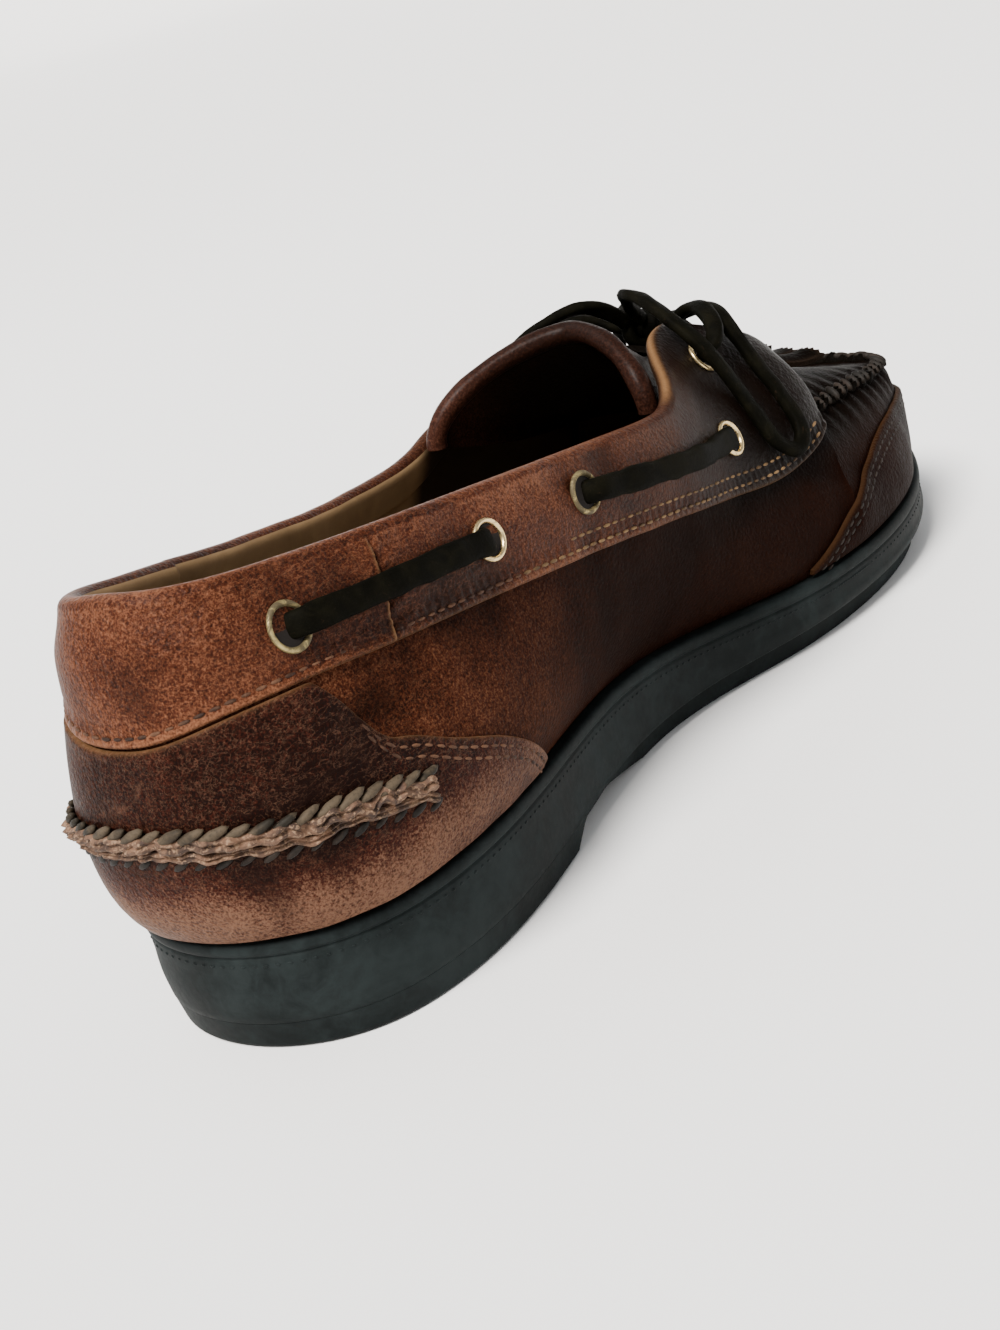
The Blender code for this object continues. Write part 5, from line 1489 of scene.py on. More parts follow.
# ---------------------------------------------------------------- stitches and whips
STITCH = 3.0 * MM             # pitch of the machine stitches
HEEL_PITCH = 4.3 * MM
TOE_PITCH = 4.6 * MM
ROW_FINE = 700                # steps in which a row is measured
REAR_ROW_REACH = 0.27         # shares of the shoe's length, forward from the heel
LOW_ROW_START = 0.33
COUNTER_ROW_START = 0.088
ROW_SHORT = 0.03              # turns by which rows stop short of an end
COUNTER_SHORT = 0.012
GUARD_SHORT = 0.02
TOE_ROW_SHORT = 0.03
TOE_ROW_LIFT = 1.5 * MM
TOE_SLANT = 68                # degrees between a whip and its seam
# length, width and height of one stitch or whip
SEW = (2.35 * MM, 0.75 * MM, 0.6 * MM)
HEEL_ROPE = (6.8 * MM, 2.0 * MM, 2.2 * MM)
HEEL_WHIP = (4.2 * MM, 1.5 * MM, 1.3 * MM)
TOE_WHIP = (5.2 * MM, 1.4 * MM, 2.4 * MM)
MOULD_DOT = (1.1 * MM, 0.6 * MM, 0.5 * MM)


def feed(tree, node, sockets):
    """Gives a node's sockets their values or links."""
    for key, value in sockets.items():
        if isinstance(value, Varying):
            value = value.socket
        if isinstance(value, bpy.types.NodeSocket):
            tree.links.new(value, node.inputs[key])
        else:
            node.inputs[key].default_value = value


def add_node(tree, kind, settings=None, sockets=None):
    """One node: its settings first, then the values or links of its sockets."""
    made = tree.nodes.new(kind)
    for setting, value in (settings or {}).items():
        if setting == "stops":
            ramp = made.color_ramp.elements
            while len(ramp) < len(value):
                ramp.new(0.5)
            for element, (position, colour) in zip(ramp, value):
                element.position = position
                element.color = (*colour, 1.0)
        else:
            setattr(made, setting, value)
    feed(tree, made, sockets or {})
    return made


def stitch_tree():
    """Geometry Nodes: one soft capsule on each point, turned along its seam."""
    tree = bpy.data.node_groups.new("stitch_row", "GeometryNodeTree")
    face = tree.interface
    for name, kind in (("Geometry", "Geometry"), ("Length", "Float"), ("Width", "Float"),
                       ("Height", "Float"), ("Seed", "Int"), ("Finish", "Material")):
        face.new_socket(name=name, in_out="INPUT", socket_type="NodeSocket" + kind)
    face.new_socket(name="Geometry", in_out="OUTPUT", socket_type="NodeSocketGeometry")

    def node(kind, settings=None, sockets=None):
        return add_node(tree, kind, settings, sockets)

    given = node("NodeGroupInput").outputs
    ball = node("GeometryNodeMeshUVSphere",
                sockets={"Segments": 8, "Rings": 6, "Radius": 0.5}).outputs["Mesh"]
    size = node("ShaderNodeCombineXYZ", sockets={
        "X": given["Length"], "Y": given["Width"], "Z": given["Height"]}).outputs[0]
    ahead, up = (node("GeometryNodeInputNamedAttribute", {"data_type": "FLOAT_VECTOR"},
                      {"Name": name}).outputs["Attribute"] for name in ("ahead", "up"))
    turn = node("FunctionNodeAxesToRotation", {"primary_axis": "X", "secondary_axis": "Z"},
                {"Primary Axis": ahead, "Secondary Axis": up}).outputs[0]
    vary = node("FunctionNodeRandomValue", {"data_type": "FLOAT"},
                {"Min": 0.86, "Max": 1.1, "Seed": given["Seed"]}).outputs["Value"]
    scale = node("ShaderNodeVectorMath", {"operation": "SCALE"},
                 {0: size, "Scale": vary}).outputs[0]
    placed = node("GeometryNodeInstanceOnPoints", sockets={
        "Points": given["Geometry"], "Instance": ball, "Rotation": turn, "Scale": scale})
    real = node("GeometryNodeRealizeInstances", sockets={0: placed.outputs[0]}).outputs[0]
    smooth = node("GeometryNodeSetShadeSmooth", sockets={"Geometry": real}).outputs[0]
    done = node("GeometryNodeSetMaterial", sockets={
        "Geometry": smooth, "Material": given["Finish"]}).outputs[0]
    node("NodeGroupOutput", sockets={"Geometry": done})
    return tree


def sewn(name, tree, finish, rows, size, seed):
    """A piece of stitches: rows of (points, directions along them, directions up)."""
    mesh = bpy.data.meshes.new(name)
    points, ahead, up = (np.concatenate(part) for part in zip(*rows))
    mesh.from_pydata(points.tolist(), [], [])
    for value, vectors in (("ahead", ahead), ("up", up)):
        made = mesh.attributes.new(value, "FLOAT_VECTOR", "POINT")
        made.data.foreach_set("vector", vectors.astype(np.float32).ravel())
    holder = put(name + "_rows", mesh)
    grown = holder.modifiers.new("stitches", "NODES")
    grown.node_group = tree
    given = {"Length": size[0], "Width": size[1], "Height": size[2], "Seed": seed,
             "Finish": finish}
    for socket in tree.interface.items_tree:
        if socket.in_out == "INPUT" and socket.name in given:
            grown[socket.identifier] = given[socket.name]
    graph = bpy.context.evaluated_depsgraph_get()
    made = put(name, bpy.data.meshes.new_from_object(holder.evaluated_get(graph)))
    bpy.data.objects.remove(holder)
    return made


def pitch_row(turns, rises_of, lift, pitch, slant=0.0):
    """Points at an even pitch along a line at a distance from the wall, with directions along
    and up. rises_of gives the line's rise at each turn."""
    fine = np.linspace(turns[0], turns[1], ROW_FINE)
    line, _ = leather_at(fine, rises_of(fine), lift)
    length = lengths_along(line)
    count = max(2, int(length[-1] / pitch))
    places = (np.arange(count) + 0.5) / count * length[-1]
    at = np.interp(places, length, fine)
    points, before, after = (
        np.column_stack([np.interp(places + step, length, line[:, axis]) for axis in range(3)])
        for step in (0, -0.4 * MM, 0.4 * MM))
    ahead = unit(after - before)
    up = wall_normal(at, np.clip(rises_of(at), 0.01, 0.98))
    across = unit(np.cross(up, ahead))
    lean = math.radians(slant)
    return points, unit(ahead * math.cos(lean) + across * math.sin(lean)), up


def fixed(value):
    """The same number at every turn."""
    return lambda turns: np.full(np.shape(turns), value)


# ---------------------------------------------------------------- the two raised seams
HEEL_FRONT = turn_of(HEEL_SEAM_FRONT)
COUNTER_FACE = COUNTER_LIFT + OVERLAY_WALL
SEAM_SIDES = 16
SPLIT_DEPTH = 0.42            # shares of the seam's height and half width
SPLIT_WIDTH = 0.28
# millimetres long, seed's step, amount: share of the height, and distance sideways
CRINKLES = ((3.4, 0, 0.26), (1.6, 1, 0.12))
SWAYS = ((4.4, 2, 0.45 * MM),)
TAPER_STEPS = 6               # rings over which an end grows thin
# the heel's two folded edges: depth below the seam's line, how far sunk, height, width, seed
HEEL_EDGES = ((0.4 * MM, 0.0 * MM, 2.6 * MM, 3.4 * MM, 41),
              (3.0 * MM, 0.5 * MM, 1.7 * MM, 2.2 * MM, 51))
HEEL_EDGE_STEPS = 330
TOE_EDGE = (2.2 * MM, 3.2 * MM)  # height and width
TOE_EDGE_STEPS = 420
TOE_EDGE_SHORT = 0.02
MOULD_DOTS = 330
MOULD_INSET = 0.5 * MM
MOULD_DEPTH = 4.9 * MM


def heel_line(turns):
    """Rise of the heel's raised seam at each turn."""
    return rise_at(turns, line_height(HEEL_SEAM, turns))


def shifted(line, distance):
    """The same line, moved up the wall by a distance."""
    return lambda turns: climb(turns, line(turns), distance)


def folded_edge(line, turns, lift, height, width, seed, steps):
    """Rings of two raw edges of leather that stand up side by side along a line."""
    at = even_turns(turns[0], turns[1], steps)
    rises = line(at)
    base, _ = leather_at(at, rises, lift)
    normal = wall_normal(at, np.clip(rises, 0.01, 0.98))
    ahead = unit(np.gradient(base, axis=0))
    across = unit(np.cross(normal, ahead))
    angles = circle(SEAM_SIDES)
    x, y = np.cos(angles), np.sin(angles)
    split = 1 - SPLIT_DEPTH * np.exp(-(x / SPLIT_WIDTH) ** 2) * (y > 0)
    crinkle, sway = (
        sum(unevenness(base, wave * MM, seed + more) * amount for wave, more, amount in waves)
        for waves in (CRINKLES, SWAYS))
    end = np.minimum(np.arange(steps), np.arange(steps)[::-1]) / TAPER_STEPS
    small = np.sqrt(np.clip(1 - (1 - np.clip(end, 0.05, 1)) ** 2, 0.1, 1))
    ring = (across[:, None] * (x * width / 2)[:, None] * small[:, None, None]
            + normal[:, None] * (y * split * height)[:, None]
            * ((1 + crinkle) * small)[:, None, None])
    return base[:, None] + ring + across[:, None] * sway[:, None, None]


def make_heel_seam(raw):
    """The crinkled raw edges that stand up round the heel."""
    piece = Piece()
    turns = (-HEEL_FRONT, HEEL_FRONT)
    for drop, sunk, height, width, seed in HEEL_EDGES:
        piece.tube(folded_edge(shifted(heel_line, -drop), turns, COUNTER_FACE - sunk,
                               height, width, seed, HEEL_EDGE_STEPS))
    return piece.make("heel_seam", raw)


def make_toe_seam(raw):
    """The raised seam between vamp and plug."""
    first = SEAM_TURN + MOC_SEAM_START + TOE_EDGE_SHORT
    piece = Piece()
    piece.tube(folded_edge(fixed(1.0), (first, 2 * math.pi - first), 0.0, TOE_EDGE[0],
                           TOE_EDGE[1], 61, TOE_EDGE_STEPS))
    return piece.make("toe_seam", raw)


def mould_row():
    """Points of the fine moulded dots below the sole's rim, with directions along and out."""
    turns = even_turns(-math.pi * 0.999, math.pi * 0.999, MOULD_DOTS)
    plan, normal = outline(turns, MOULD_INSET)
    level = rim_top(turns) * COLLAR_HEIGHT - MOULD_DEPTH
    points = np.column_stack([plan, level])
    out = np.column_stack([normal, np.zeros_like(level)])
    return points, unit(np.gradient(points, axis=0)), out


# ---------------------------------------------------------------- finishes
class Varying:
    """A number that varies over a surface; Python's operators add its Math nodes."""

    def __init__(self, finish, socket):
        self.finish = finish
        self.socket = socket

    def __add__(self, other):
        return self.finish.maths("ADD", self, other)

    def __sub__(self, other):
        return self.finish.maths("SUBTRACT", self, other)

    def __rsub__(self, other):
        return self.finish.maths("SUBTRACT", other, self)

    def __mul__(self, other):
        return self.finish.maths("MULTIPLY", self, other)

    __radd__ = __add__
    __rmul__ = __mul__


class Finish:
    """A material, with the few ways in which its nodes are made."""

    def __init__(self, name, **constants):
        self.material = bpy.data.materials.new(name)
        self.material.use_nodes = True
        self.tree = self.material.node_tree
        self.wear(**constants)
        self.place = self.node("ShaderNodeTexCoord").outputs["Object"]

    def node(self, kind, settings=None, sockets=None):
        """One node of this material."""
        return add_node(self.tree, kind, settings, sockets)

    def maths(self, operation, first, second):
        """A Math node on two numbers."""
        made = self.node("ShaderNodeMath", {"operation": operation}, {0: first, 1: second})
        return Varying(self, made.outputs[0])

    def between(self, value, low, high):
        """0 below low, 1 above high, with an even turn between."""
        made = self.node("ShaderNodeMapRange", {"interpolation_type": "SMOOTHSTEP"},
                         {"Value": value, "From Min": low, "From Max": high})
        return Varying(self, made.outputs[0])

    def noise(self, size, detail=3.0, rough=0.5, twist=0.0, place=None):
        """Clouds of about one size, in metres."""
        made = self.node("ShaderNodeTexNoise", {}, {
            "Vector": place or self.place, "Scale": 1 / size, "Detail": detail,
            "Roughness": rough, "Distortion": twist})
        return Varying(self, made.outputs["Fac"])

    def cells(self, size):
        """Distance from the middle of cells of about one size."""
        made = self.node("ShaderNodeTexVoronoi", {}, {"Vector": self.place, "Scale": 1 / size})
        return Varying(self, made.outputs["Distance"])

    def stretched(self, scale, turned=(0.0, 0.0, 0.0)):
        """Object coordinates drawn out along one way."""
        return self.node("ShaderNodeMapping", {}, {
            "Vector": self.place, "Scale": scale, "Rotation": turned}).outputs[0]

    def value(self, name):
        """A surface value that the mesh carries."""
        made = self.node("ShaderNodeAttribute", {"attribute_name": name})
        return Varying(self, made.outputs["Fac"])

    def blend(self, mask, first, second):
        """One colour where the mask is 0, the other where it is 1."""
        first, second = ((*colour, 1.0) if isinstance(colour, tuple) else colour
                         for colour in (first, second))
        return self.node("ShaderNodeMix", {"data_type": "RGBA"},
                         {0: mask, 6: first, 7: second}).outputs[2]

    def bump(self, height, depth, strength=1.0, under=None):
        """A Bump node, on top of another one."""
        sockets = {"Height": height, "Distance": depth, "Strength": strength}
        if under is not None:
            sockets["Normal"] = under
        return self.node("ShaderNodeBump", {}, sockets).outputs["Normal"]

    def wear(self, **sockets):
        """Values or links of the shader's own sockets; returns the material."""
        feed(self.tree, self.tree.nodes["Principled BSDF"],
             {key.replace("_", " "): value for key, value in sockets.items()})
        return self.material


# where the leather changes, each as the start and the end of an even turn
# painted shade: the leather darkens over this run towards the toe
TOE_SHADE_RUN = (5 * MM, 120 * MM)  # along the shoe
# painted highlight on the heel's back
HEEL_HIGHLIGHT_RUN = (-44 * MM, -12 * MM)
QUARTER_RUN = (22 * MM, 58 * MM)
# painted shadow over the top of the toe: where it starts along the shoe
TOE_SHADOW_RUN = (90 * MM, 152 * MM)
LINING_RUN = (104 * MM, 113 * MM)
# and from what height the painted shadow over the toe grows
TOE_SHADOW_RISE = (35 * MM, 46 * MM)  # above the floor
# paler near the sole; higher up darker, painted shade under the band's overhang
RUB_AND_SHADE_RISE = (31 * MM, 46 * MM)


def leather(name, deep, middle, light, raw, rough, gleam, toe_shade, run=TOE_SHADE_RUN, grain=1.0,
            mottle=1.0, shine=0.0, low=0.0, heel=0.0, quarter=0.0):
    """Oiled full-grain leather: blotches, speckled grain, rubbed edges (on the band also a painted
    highlight), and creases darkened with painted shade, their ridges lighter with painted light.
    It darkens along a run of the shoe, by as much as aged says, as painted shade towards the toe;
    low says how much paler it is near the sole and how much darker higher up, where the darker
    top is painted shade under the band's overhang. heel is how much paler the heel's back is, a
    painted highlight, and quarter how much deeper the stretch ahead of it."""
    made = Finish(name, Specular_IOR_Level=gleam, Coat_Roughness=0.3, Coat_Weight=shine)
    blotch = made.noise(34 * MM, 2.0, 0.5)
    mottling = made.noise(7 * MM, 4.0, 0.6, 0.5)
    fine = made.noise(0.9 * MM, 3.0, 0.62)
    speck = made.noise(0.45 * MM, 2.0, 0.6)
    veins = made.noise(1.7 * MM, 2.0, 0.5, 1.2)
    hairs = made.noise(1.3 * MM, 3.0, 0.6, 0.3, made.stretched((1.0, 0.3, 1.0), (0.35, 0.0, 0.0)))
    scuff = made.noise(15 * MM, 7.0, 0.74, 1.2)
    streak = made.noise(2.6 * MM, 4.0, 0.6, 0.2, made.stretched((1.0, 0.22, 0.8), (0.5, 0.0, 0.3)))
    # the wear value is wear, and on the band also a painted highlight
    edge, crease, rubbed = made.value("edge"), made.value("crease"), made.value("wear")
    pores = made.cells(1.0 * MM)
    wrinkle = made.noise(3.0 * MM, 5.0, 0.62, 1.6)
    axes = made.node("ShaderNodeSeparateXYZ", {}, {0: made.place}).outputs
    # masks along the shoe: painted shade towards the toe, a painted highlight on the heel's back,
    # the stretch ahead of it, and painted shadow over the toe
    ahead, back, front, far = (made.between(axes["Y"], *limits)
                               for limits in (run, HEEL_HIGHLIGHT_RUN, QUARTER_RUN, TOE_SHADOW_RUN))
    # higher up the counter is darker, painted shade under the band's overhang; low down it is
    # paler
    raised = made.between(axes["Z"], *RUB_AND_SHADE_RISE)
    # painted shadow: the top of the front goes near black
    toe_top_shadow = made.between(axes["Z"], *TOE_SHADOW_RISE) * far

    tone = blotch * 0.30 + mottling * (0.18 * mottle) + fine * 0.50 + speck * 0.62
    # wear and painted highlights lighten the tone; painted shade darkens the creases and the toe
    tone = tone + rubbed * 0.20 - crease * 0.14 - ahead * 0.08 - (0.210 + 0.09 * mottle)
    # painted highlight on the heel's back, painted shade high on the counter
    tone = tone - (raised - 0.5) * low + (1.0 - back) * heel - (back - front) * quarter
    colour = made.node("ShaderNodeValToRGB", {"stops": (
        (0.26, deep), (0.50, middle), (0.80, light))}, {"Fac": tone}).outputs["Color"]
    scuffed = made.between(scuff, 0.57, 0.69) * 0.5 * mottle
    scuffed = scuffed + made.between(streak, 0.60, 0.72) * 0.35
    vein = made.between(made.maths("ABSOLUTE", veins - 0.5, 0.0), 0.0, 0.04)
    hair = made.between(made.maths("ABSOLUTE", hairs - 0.5, 0.0), 0.0, 0.03)
    scuffed = scuffed + (1.0 - hair) * 0.75
    scuffed = scuffed + (1.0 - vein) * made.between(mottling, 0.35, 0.62) * 0.5
    # pale scuffs and hairs, fewer towards the toe where shade is painted
    colour = made.blend(scuffed * (0.35 + rubbed * 0.5) * (1.0 - ahead * 0.8), colour, light)
    # painted shade in the creases
    colour = made.blend(made.between(crease, 0.15, 0.95) * 0.6, colour, deep)
    colour = made.blend(made.between(0.5 - pores, 0.05, 0.3) * 0.4, colour, deep)
    # painted shade, darker towards the toe
    colour = made.blend(ahead * toe_shade, colour, deep)
    # painted shadow over the top of the toe
    colour = made.blend(toe_top_shadow * 0.9, colour, (0.0016, 0.0011, 0.0007))
    colour = made.blend(edge * (0.55 + mottling * 0.5), colour, raw)

    gloss = rough + mottling * 0.22 - 0.11 + edge * 0.25 - rubbed * 0.08 + (fine - 0.5) * 0.3
    normal = made.bump(wrinkle, 0.45 * MM * grain, 0.6)
    normal = made.bump(pores, 0.16 * MM * grain, 0.8, normal)
    normal = made.bump(fine, 0.20 * MM * grain, 0.75, normal)
    return made.wear(Base_Color=colour, Roughness=gloss, Normal=normal)


def lining_finish():
    """Napped lining: olive tan at the heel, darker towards the toe."""
    made = Finish("lining", Specular_IOR_Level=0.1)
    along = made.node("ShaderNodeSeparateXYZ", {}, {0: made.place}).outputs["Y"]
    ahead = made.between(along, *LINING_RUN)
    worn = made.noise(16 * MM, 4.0, 0.6, 0.5)
    fibre = made.noise(0.9 * MM, 3.0, 0.6)
    heel = made.blend(worn, (0.120, 0.072, 0.034), (0.280, 0.180, 0.092))
    front = made.blend(worn, (0.012, 0.007, 0.004), (0.030, 0.018, 0.010))
    colour = made.blend(ahead, heel, front)
    colour = made.blend(made.value("edge"), colour, (0.22, 0.12, 0.06))
    normal = made.bump(fibre, 0.15 * MM, 0.6)
    return made.wear(Base_Color=colour, Roughness=0.72 + worn * 0.2, Normal=normal)


def rubber_finish(name, deep, light, rough):
    """Moulded rubber with a dusty bloom and a fine matt skin."""
    made = Finish(name, Specular_IOR_Level=0.05)
    dust = made.noise(22 * MM, 5.0, 0.65, 0.6)
    speck = made.noise(1.4 * MM, 3.0, 0.6)
    rubbed = made.noise(5 * MM, 4.0, 0.7, 1.0)
    tone = made.between(dust * 0.7 + rubbed * 0.3, 0.38, 0.66)
    colour = made.blend(tone, deep, light)
    colour = made.blend(made.between(speck, 0.66, 0.78) * 0.35, colour, light)
    normal = made.bump(speck, 0.06 * MM, 0.6, made.bump(rubbed, 0.12 * MM, 0.35))
    gloss = rough + tone * 0.14 + (speck - 0.5) * 0.2
    return made.wear(Base_Color=colour, Roughness=gloss, Normal=normal)


def footbed_finish():
    """A worn leather sock over the footbed."""
    made = Finish("footbed", Specular_IOR_Level=0.3)
    worn = made.noise(24 * MM, 4.0, 0.6, 0.6)
    fine = made.noise(1.1 * MM, 3.0, 0.6)
    colour = made.blend(worn, (0.038, 0.026, 0.014), (0.115, 0.080, 0.044))
    return made.wear(Base_Color=colour, Roughness=0.62 + worn * 0.25,
                     Normal=made.bump(fine, 0.1 * MM, 0.5))


def rawhide_finish():
    """Rawhide lace: near black, cracked along its length, browner where it is rubbed."""
    made = Finish("rawhide", Specular_IOR_Level=0.02)
    crack = made.noise(1.8 * MM, 5.0, 0.65, 1.6)
    worn = made.noise(6 * MM, 4.0, 0.6, 0.5)
    colour = made.blend(made.between(worn, 0.4, 0.7), (0.0016, 0.0015, 0.0008),
                        (0.0040, 0.0036, 0.0018))
    colour = made.blend(made.between(crack, 0.62, 0.74) * 0.5, colour, (0.022, 0.013, 0.008))
    normal = made.bump(crack, 0.28 * MM, 0.6)
    return made.wear(Base_Color=colour, Roughness=0.48 + worn * 0.3, Normal=normal)


def brass_finish(name, bright, tarnish, amount, rough):
    """Brass with tarnish in its hollows."""
    made = Finish(name)
    stain = made.noise(2.4 * MM, 5.0, 0.65, 0.8)
    scratch = made.noise(0.6 * MM, 3.0, 0.6)
    mask = made.between(stain, 0.62 - amount * 0.3, 0.86 - amount * 0.3)
    colour = made.blend(mask, bright, tarnish)
    return made.wear(Base_Color=colour, Metallic=1.0 - mask * 0.55,
                     Roughness=rough + mask * 0.3 + (scratch - 0.5) * 0.12,
                     Normal=made.bump(scratch, 0.03 * MM, 0.4))


def thread_finish(name, deep, light, rough=0.6):
    """Waxed thread, darker where dirt has settled."""
    made = Finish(name, Specular_IOR_Level=0.15)
    dirt = made.noise(9 * MM, 4.0, 0.65, 0.4)
    ply = made.noise(0.5 * MM, 2.0, 0.5)
    colour = made.blend(made.between(dirt, 0.36, 0.62), deep, light)
    colour = made.blend(made.between(ply, 0.5, 0.7) * 0.4, colour, deep)
    return made.wear(Base_Color=colour, Roughness=rough + dirt * 0.2,
                     Normal=made.bump(ply, 0.12 * MM, 0.7))


def raw_leather_finish():
    """The raw edge of two layers of leather, crinkled and dirty."""
    made = Finish("raw_leather", Specular_IOR_Level=0.3)
    dirt = made.noise(5 * MM, 5.0, 0.65, 1.0)
    fibre = made.noise(0.8 * MM, 4.0, 0.6, 0.6)
    colour = made.blend(made.between(dirt, 0.36, 0.64), (0.026, 0.013, 0.008),
                        (0.115, 0.060, 0.034))
    colour = made.blend(made.between(fibre, 0.50, 0.66) * 0.6, colour, (0.26, 0.165, 0.100))
    return made.wear(Base_Color=colour, Roughness=0.68 + fibre * 0.2,
                     Normal=made.bump(fibre, 0.3 * MM, 0.8))


def bore_shade_finish():
    """Painted shade inside an eyelet's bore: a near-black finish for the disc there."""
    made = Finish("bore_shade", Specular_IOR_Level=0.2)
    dust = made.noise(1.5 * MM, 3.0, 0.5)
    colour = made.blend(dust, (0.002, 0.0015, 0.001), (0.008, 0.005, 0.004))
    return made.wear(Base_Color=colour, Roughness=0.7 + dust * 0.2,
                     Normal=made.bump(dust, 0.1 * MM, 0.5))


def floor_finish():
    """A plain pale studio floor."""
    return Finish("studio_floor").wear(Base_Color=(0.86, 0.86, 0.86, 1.0), Roughness=0.9,
                                       Specular_IOR_Level=0.1)


# ---------------------------------------------------------------- camera, light and floor
CAMERA_PLACE = (0.272911, -0.272215, 0.194614)
CAMERA_AIM = (0.012506, 0.059477, 0.037547)
CAMERA_ROLL = math.radians(-15.5375)
CAMERA_LENS = 55.82
SENSOR_WIDTH = 36.0
FLOOR_RADIUS = 7.0            # metres, as is the height of its turned-up rim
FLOOR_TURN = 2.0
FLOOR_TURN_STEPS = 8
FLOOR_SIDES = 96
FLOOR_DROP = 0.2 * MM
WORLD_COLOUR = (0.98, 0.99, 1.0, 1.0)
WORLD_STRENGTH = 0.66
# name, kind, place, aim, size or spread, power and colour
LIGHTS = (("key", "SUN", (0.09, -1.48, 2.10), (0.0, 0.02, 0.05), math.radians(24), 9.4,
           (1.0, 0.96, 0.91)),
          ("fill", "AREA", (-0.7, 0.1, 0.9), (0.0, 0.08, 0.05), 0.8, 4.0, (0.95, 0.97, 1.0)))


def make_camera():
    """The camera, tilted a little about its own line of sight."""
    data = bpy.data.cameras.new("camera")
    data.lens = CAMERA_LENS
    data.sensor_width = SENSOR_WIDTH
    data.sensor_fit = "AUTO"
    data.clip_start = 0.01
    made = put("camera", data)
    forward = (Vector(CAMERA_AIM) - Vector(CAMERA_PLACE)).normalized()
    level = forward.cross(Vector((0, 0, 1))).normalized()
    upright = level.cross(forward)
    right = level * math.cos(CAMERA_ROLL) + upright * math.sin(CAMERA_ROLL)
    up = upright * math.cos(CAMERA_ROLL) - level * math.sin(CAMERA_ROLL)
    turned = Matrix((right, up, -forward)).transposed()
    made.matrix_world = Matrix.Translation(CAMERA_PLACE) @ turned.to_4x4()
    bpy.context.scene.camera = made


def make_light(name, kind, place, aim, size, power, colour):
    """A soft light: a square, or one so far away that it falls evenly on everything."""
    data = bpy.data.lights.new(name, kind)
    data.energy = power
    data.color = colour
    if kind == "AREA":
        data.size = size
    else:
        data.angle = size
    made = put(name, data)
    made.location = place
    made.rotation_euler = (Vector(aim) - Vector(place)).to_track_quat("-Z", "Y").to_euler()


def make_studio():
    """Floor that turns up far away, world and lights: the key from behind the heel, a weak
    fill."""
    mesh = bpy.data.meshes.new("studio_floor")
    shape = bmesh.new()
    bmesh.ops.create_circle(shape, cap_ends=True, segments=FLOOR_SIDES, radius=FLOOR_RADIUS)
    rim = [edge for edge in shape.edges if edge.is_boundary]
    for step in range(1, FLOOR_TURN_STEPS + 1):
        angle = math.pi / 2 * step / FLOOR_TURN_STEPS
        made = bmesh.ops.extrude_edge_only(shape, edges=rim)["geom"]
        rim = [part for part in made if isinstance(part, bmesh.types.BMEdge)]
        reach = FLOOR_RADIUS + FLOOR_TURN * math.sin(angle)
        for corner in (part for part in made if isinstance(part, bmesh.types.BMVert)):
            flat = corner.co.to_2d().normalized() * reach
            corner.co = (flat.x, flat.y, FLOOR_TURN * (1 - math.cos(angle)))
    bmesh.ops.translate(shape, verts=shape.verts, vec=(0, 0, -FLOOR_DROP))
    bmesh.ops.recalc_face_normals(shape, faces=shape.faces)
    shape.to_mesh(mesh)
    shape.free()
    mesh.shade_smooth()
    mesh.materials.append(floor_finish())
    put("studio_floor", mesh)
    world = bpy.data.worlds.new("studio")
    world.use_nodes = True
    back = world.node_tree.nodes["Background"]
    back.inputs["Color"].default_value = WORLD_COLOUR
    back.inputs["Strength"].default_value = WORLD_STRENGTH
    bpy.context.scene.world = world
    for light in LIGHTS:
        make_light(*light)


# ---------------------------------------------------------------- the pieces
def carry(piece, slot, *nodes):
    """A piece rides with the shoe and stands for CAD nodes, which are hidden; slot is not used."""
    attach(piece, "root")
    if nodes:
        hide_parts(*nodes)


make_camera()

rawhide = rawhide_finish()
TAN_RAW = (0.170, 0.088, 0.038)
upper_leather = leather("upper_leather", (0.0052, 0.0018, 0.0010), (0.044, 0.0124, 0.0056),
                        (0.150, 0.062, 0.0310), TAN_RAW, rough=0.50, gleam=0.01, toe_shade=0.92,
                        run=(-25 * MM, 92 * MM))
band_leather = leather("band_leather", (0.0085, 0.0026, 0.0012), (0.041, 0.0106, 0.0044),
                       (0.140, 0.056, 0.0280), TAN_RAW, rough=0.47, gleam=0.05, toe_shade=0.75,
                       run=(20 * MM, 165 * MM), heel=0.07, quarter=0.16)
counter_leather = leather("counter_leather", (0.0050, 0.0016, 0.0010), (0.025, 0.0058, 0.0032),
                          (0.116, 0.058, 0.0350), TAN_RAW, rough=0.47, gleam=0.03, toe_shade=0.86,
                          low=0.43)
tongue_leather = leather("tongue_leather", (0.0075, 0.0030, 0.0021), (0.032, 0.0105, 0.0064),
                         (0.080, 0.031, 0.018), (0.10, 0.04, 0.025), rough=0.42, gleam=0.03,
                         toe_shade=0.1, grain=0.6, mottle=0.8, shine=0.03)
kiltie_leather = leather("kiltie_leather", (0.0022, 0.0017, 0.0010), (0.0060, 0.0042, 0.0026),
                         (0.010, 0.0068, 0.0042), (0.014, 0.009, 0.006), rough=0.52, gleam=0.01,
                         toe_shade=0.3, grain=0.8, mottle=0.9)
lining = lining_finish()
RUBBER_COLOURS = ((0.0036, 0.0050, 0.0050), (0.0118, 0.0156, 0.0158))
rubber = rubber_finish("black_rubber", *RUBBER_COLOURS, 0.55)
tread_rubber = rubber_finish("tread_rubber", *RUBBER_COLOURS, 0.57)
raw_leather = raw_leather_finish()
bright_brass = brass_finish("bright_brass", (0.62, 0.47, 0.24), (0.10, 0.065, 0.025), 0.45, 0.27)
olive_brass = brass_finish("olive_brass", (0.34, 0.27, 0.12), (0.060, 0.045, 0.020), 1.0, 0.42)
bore_shade = bore_shade_finish()
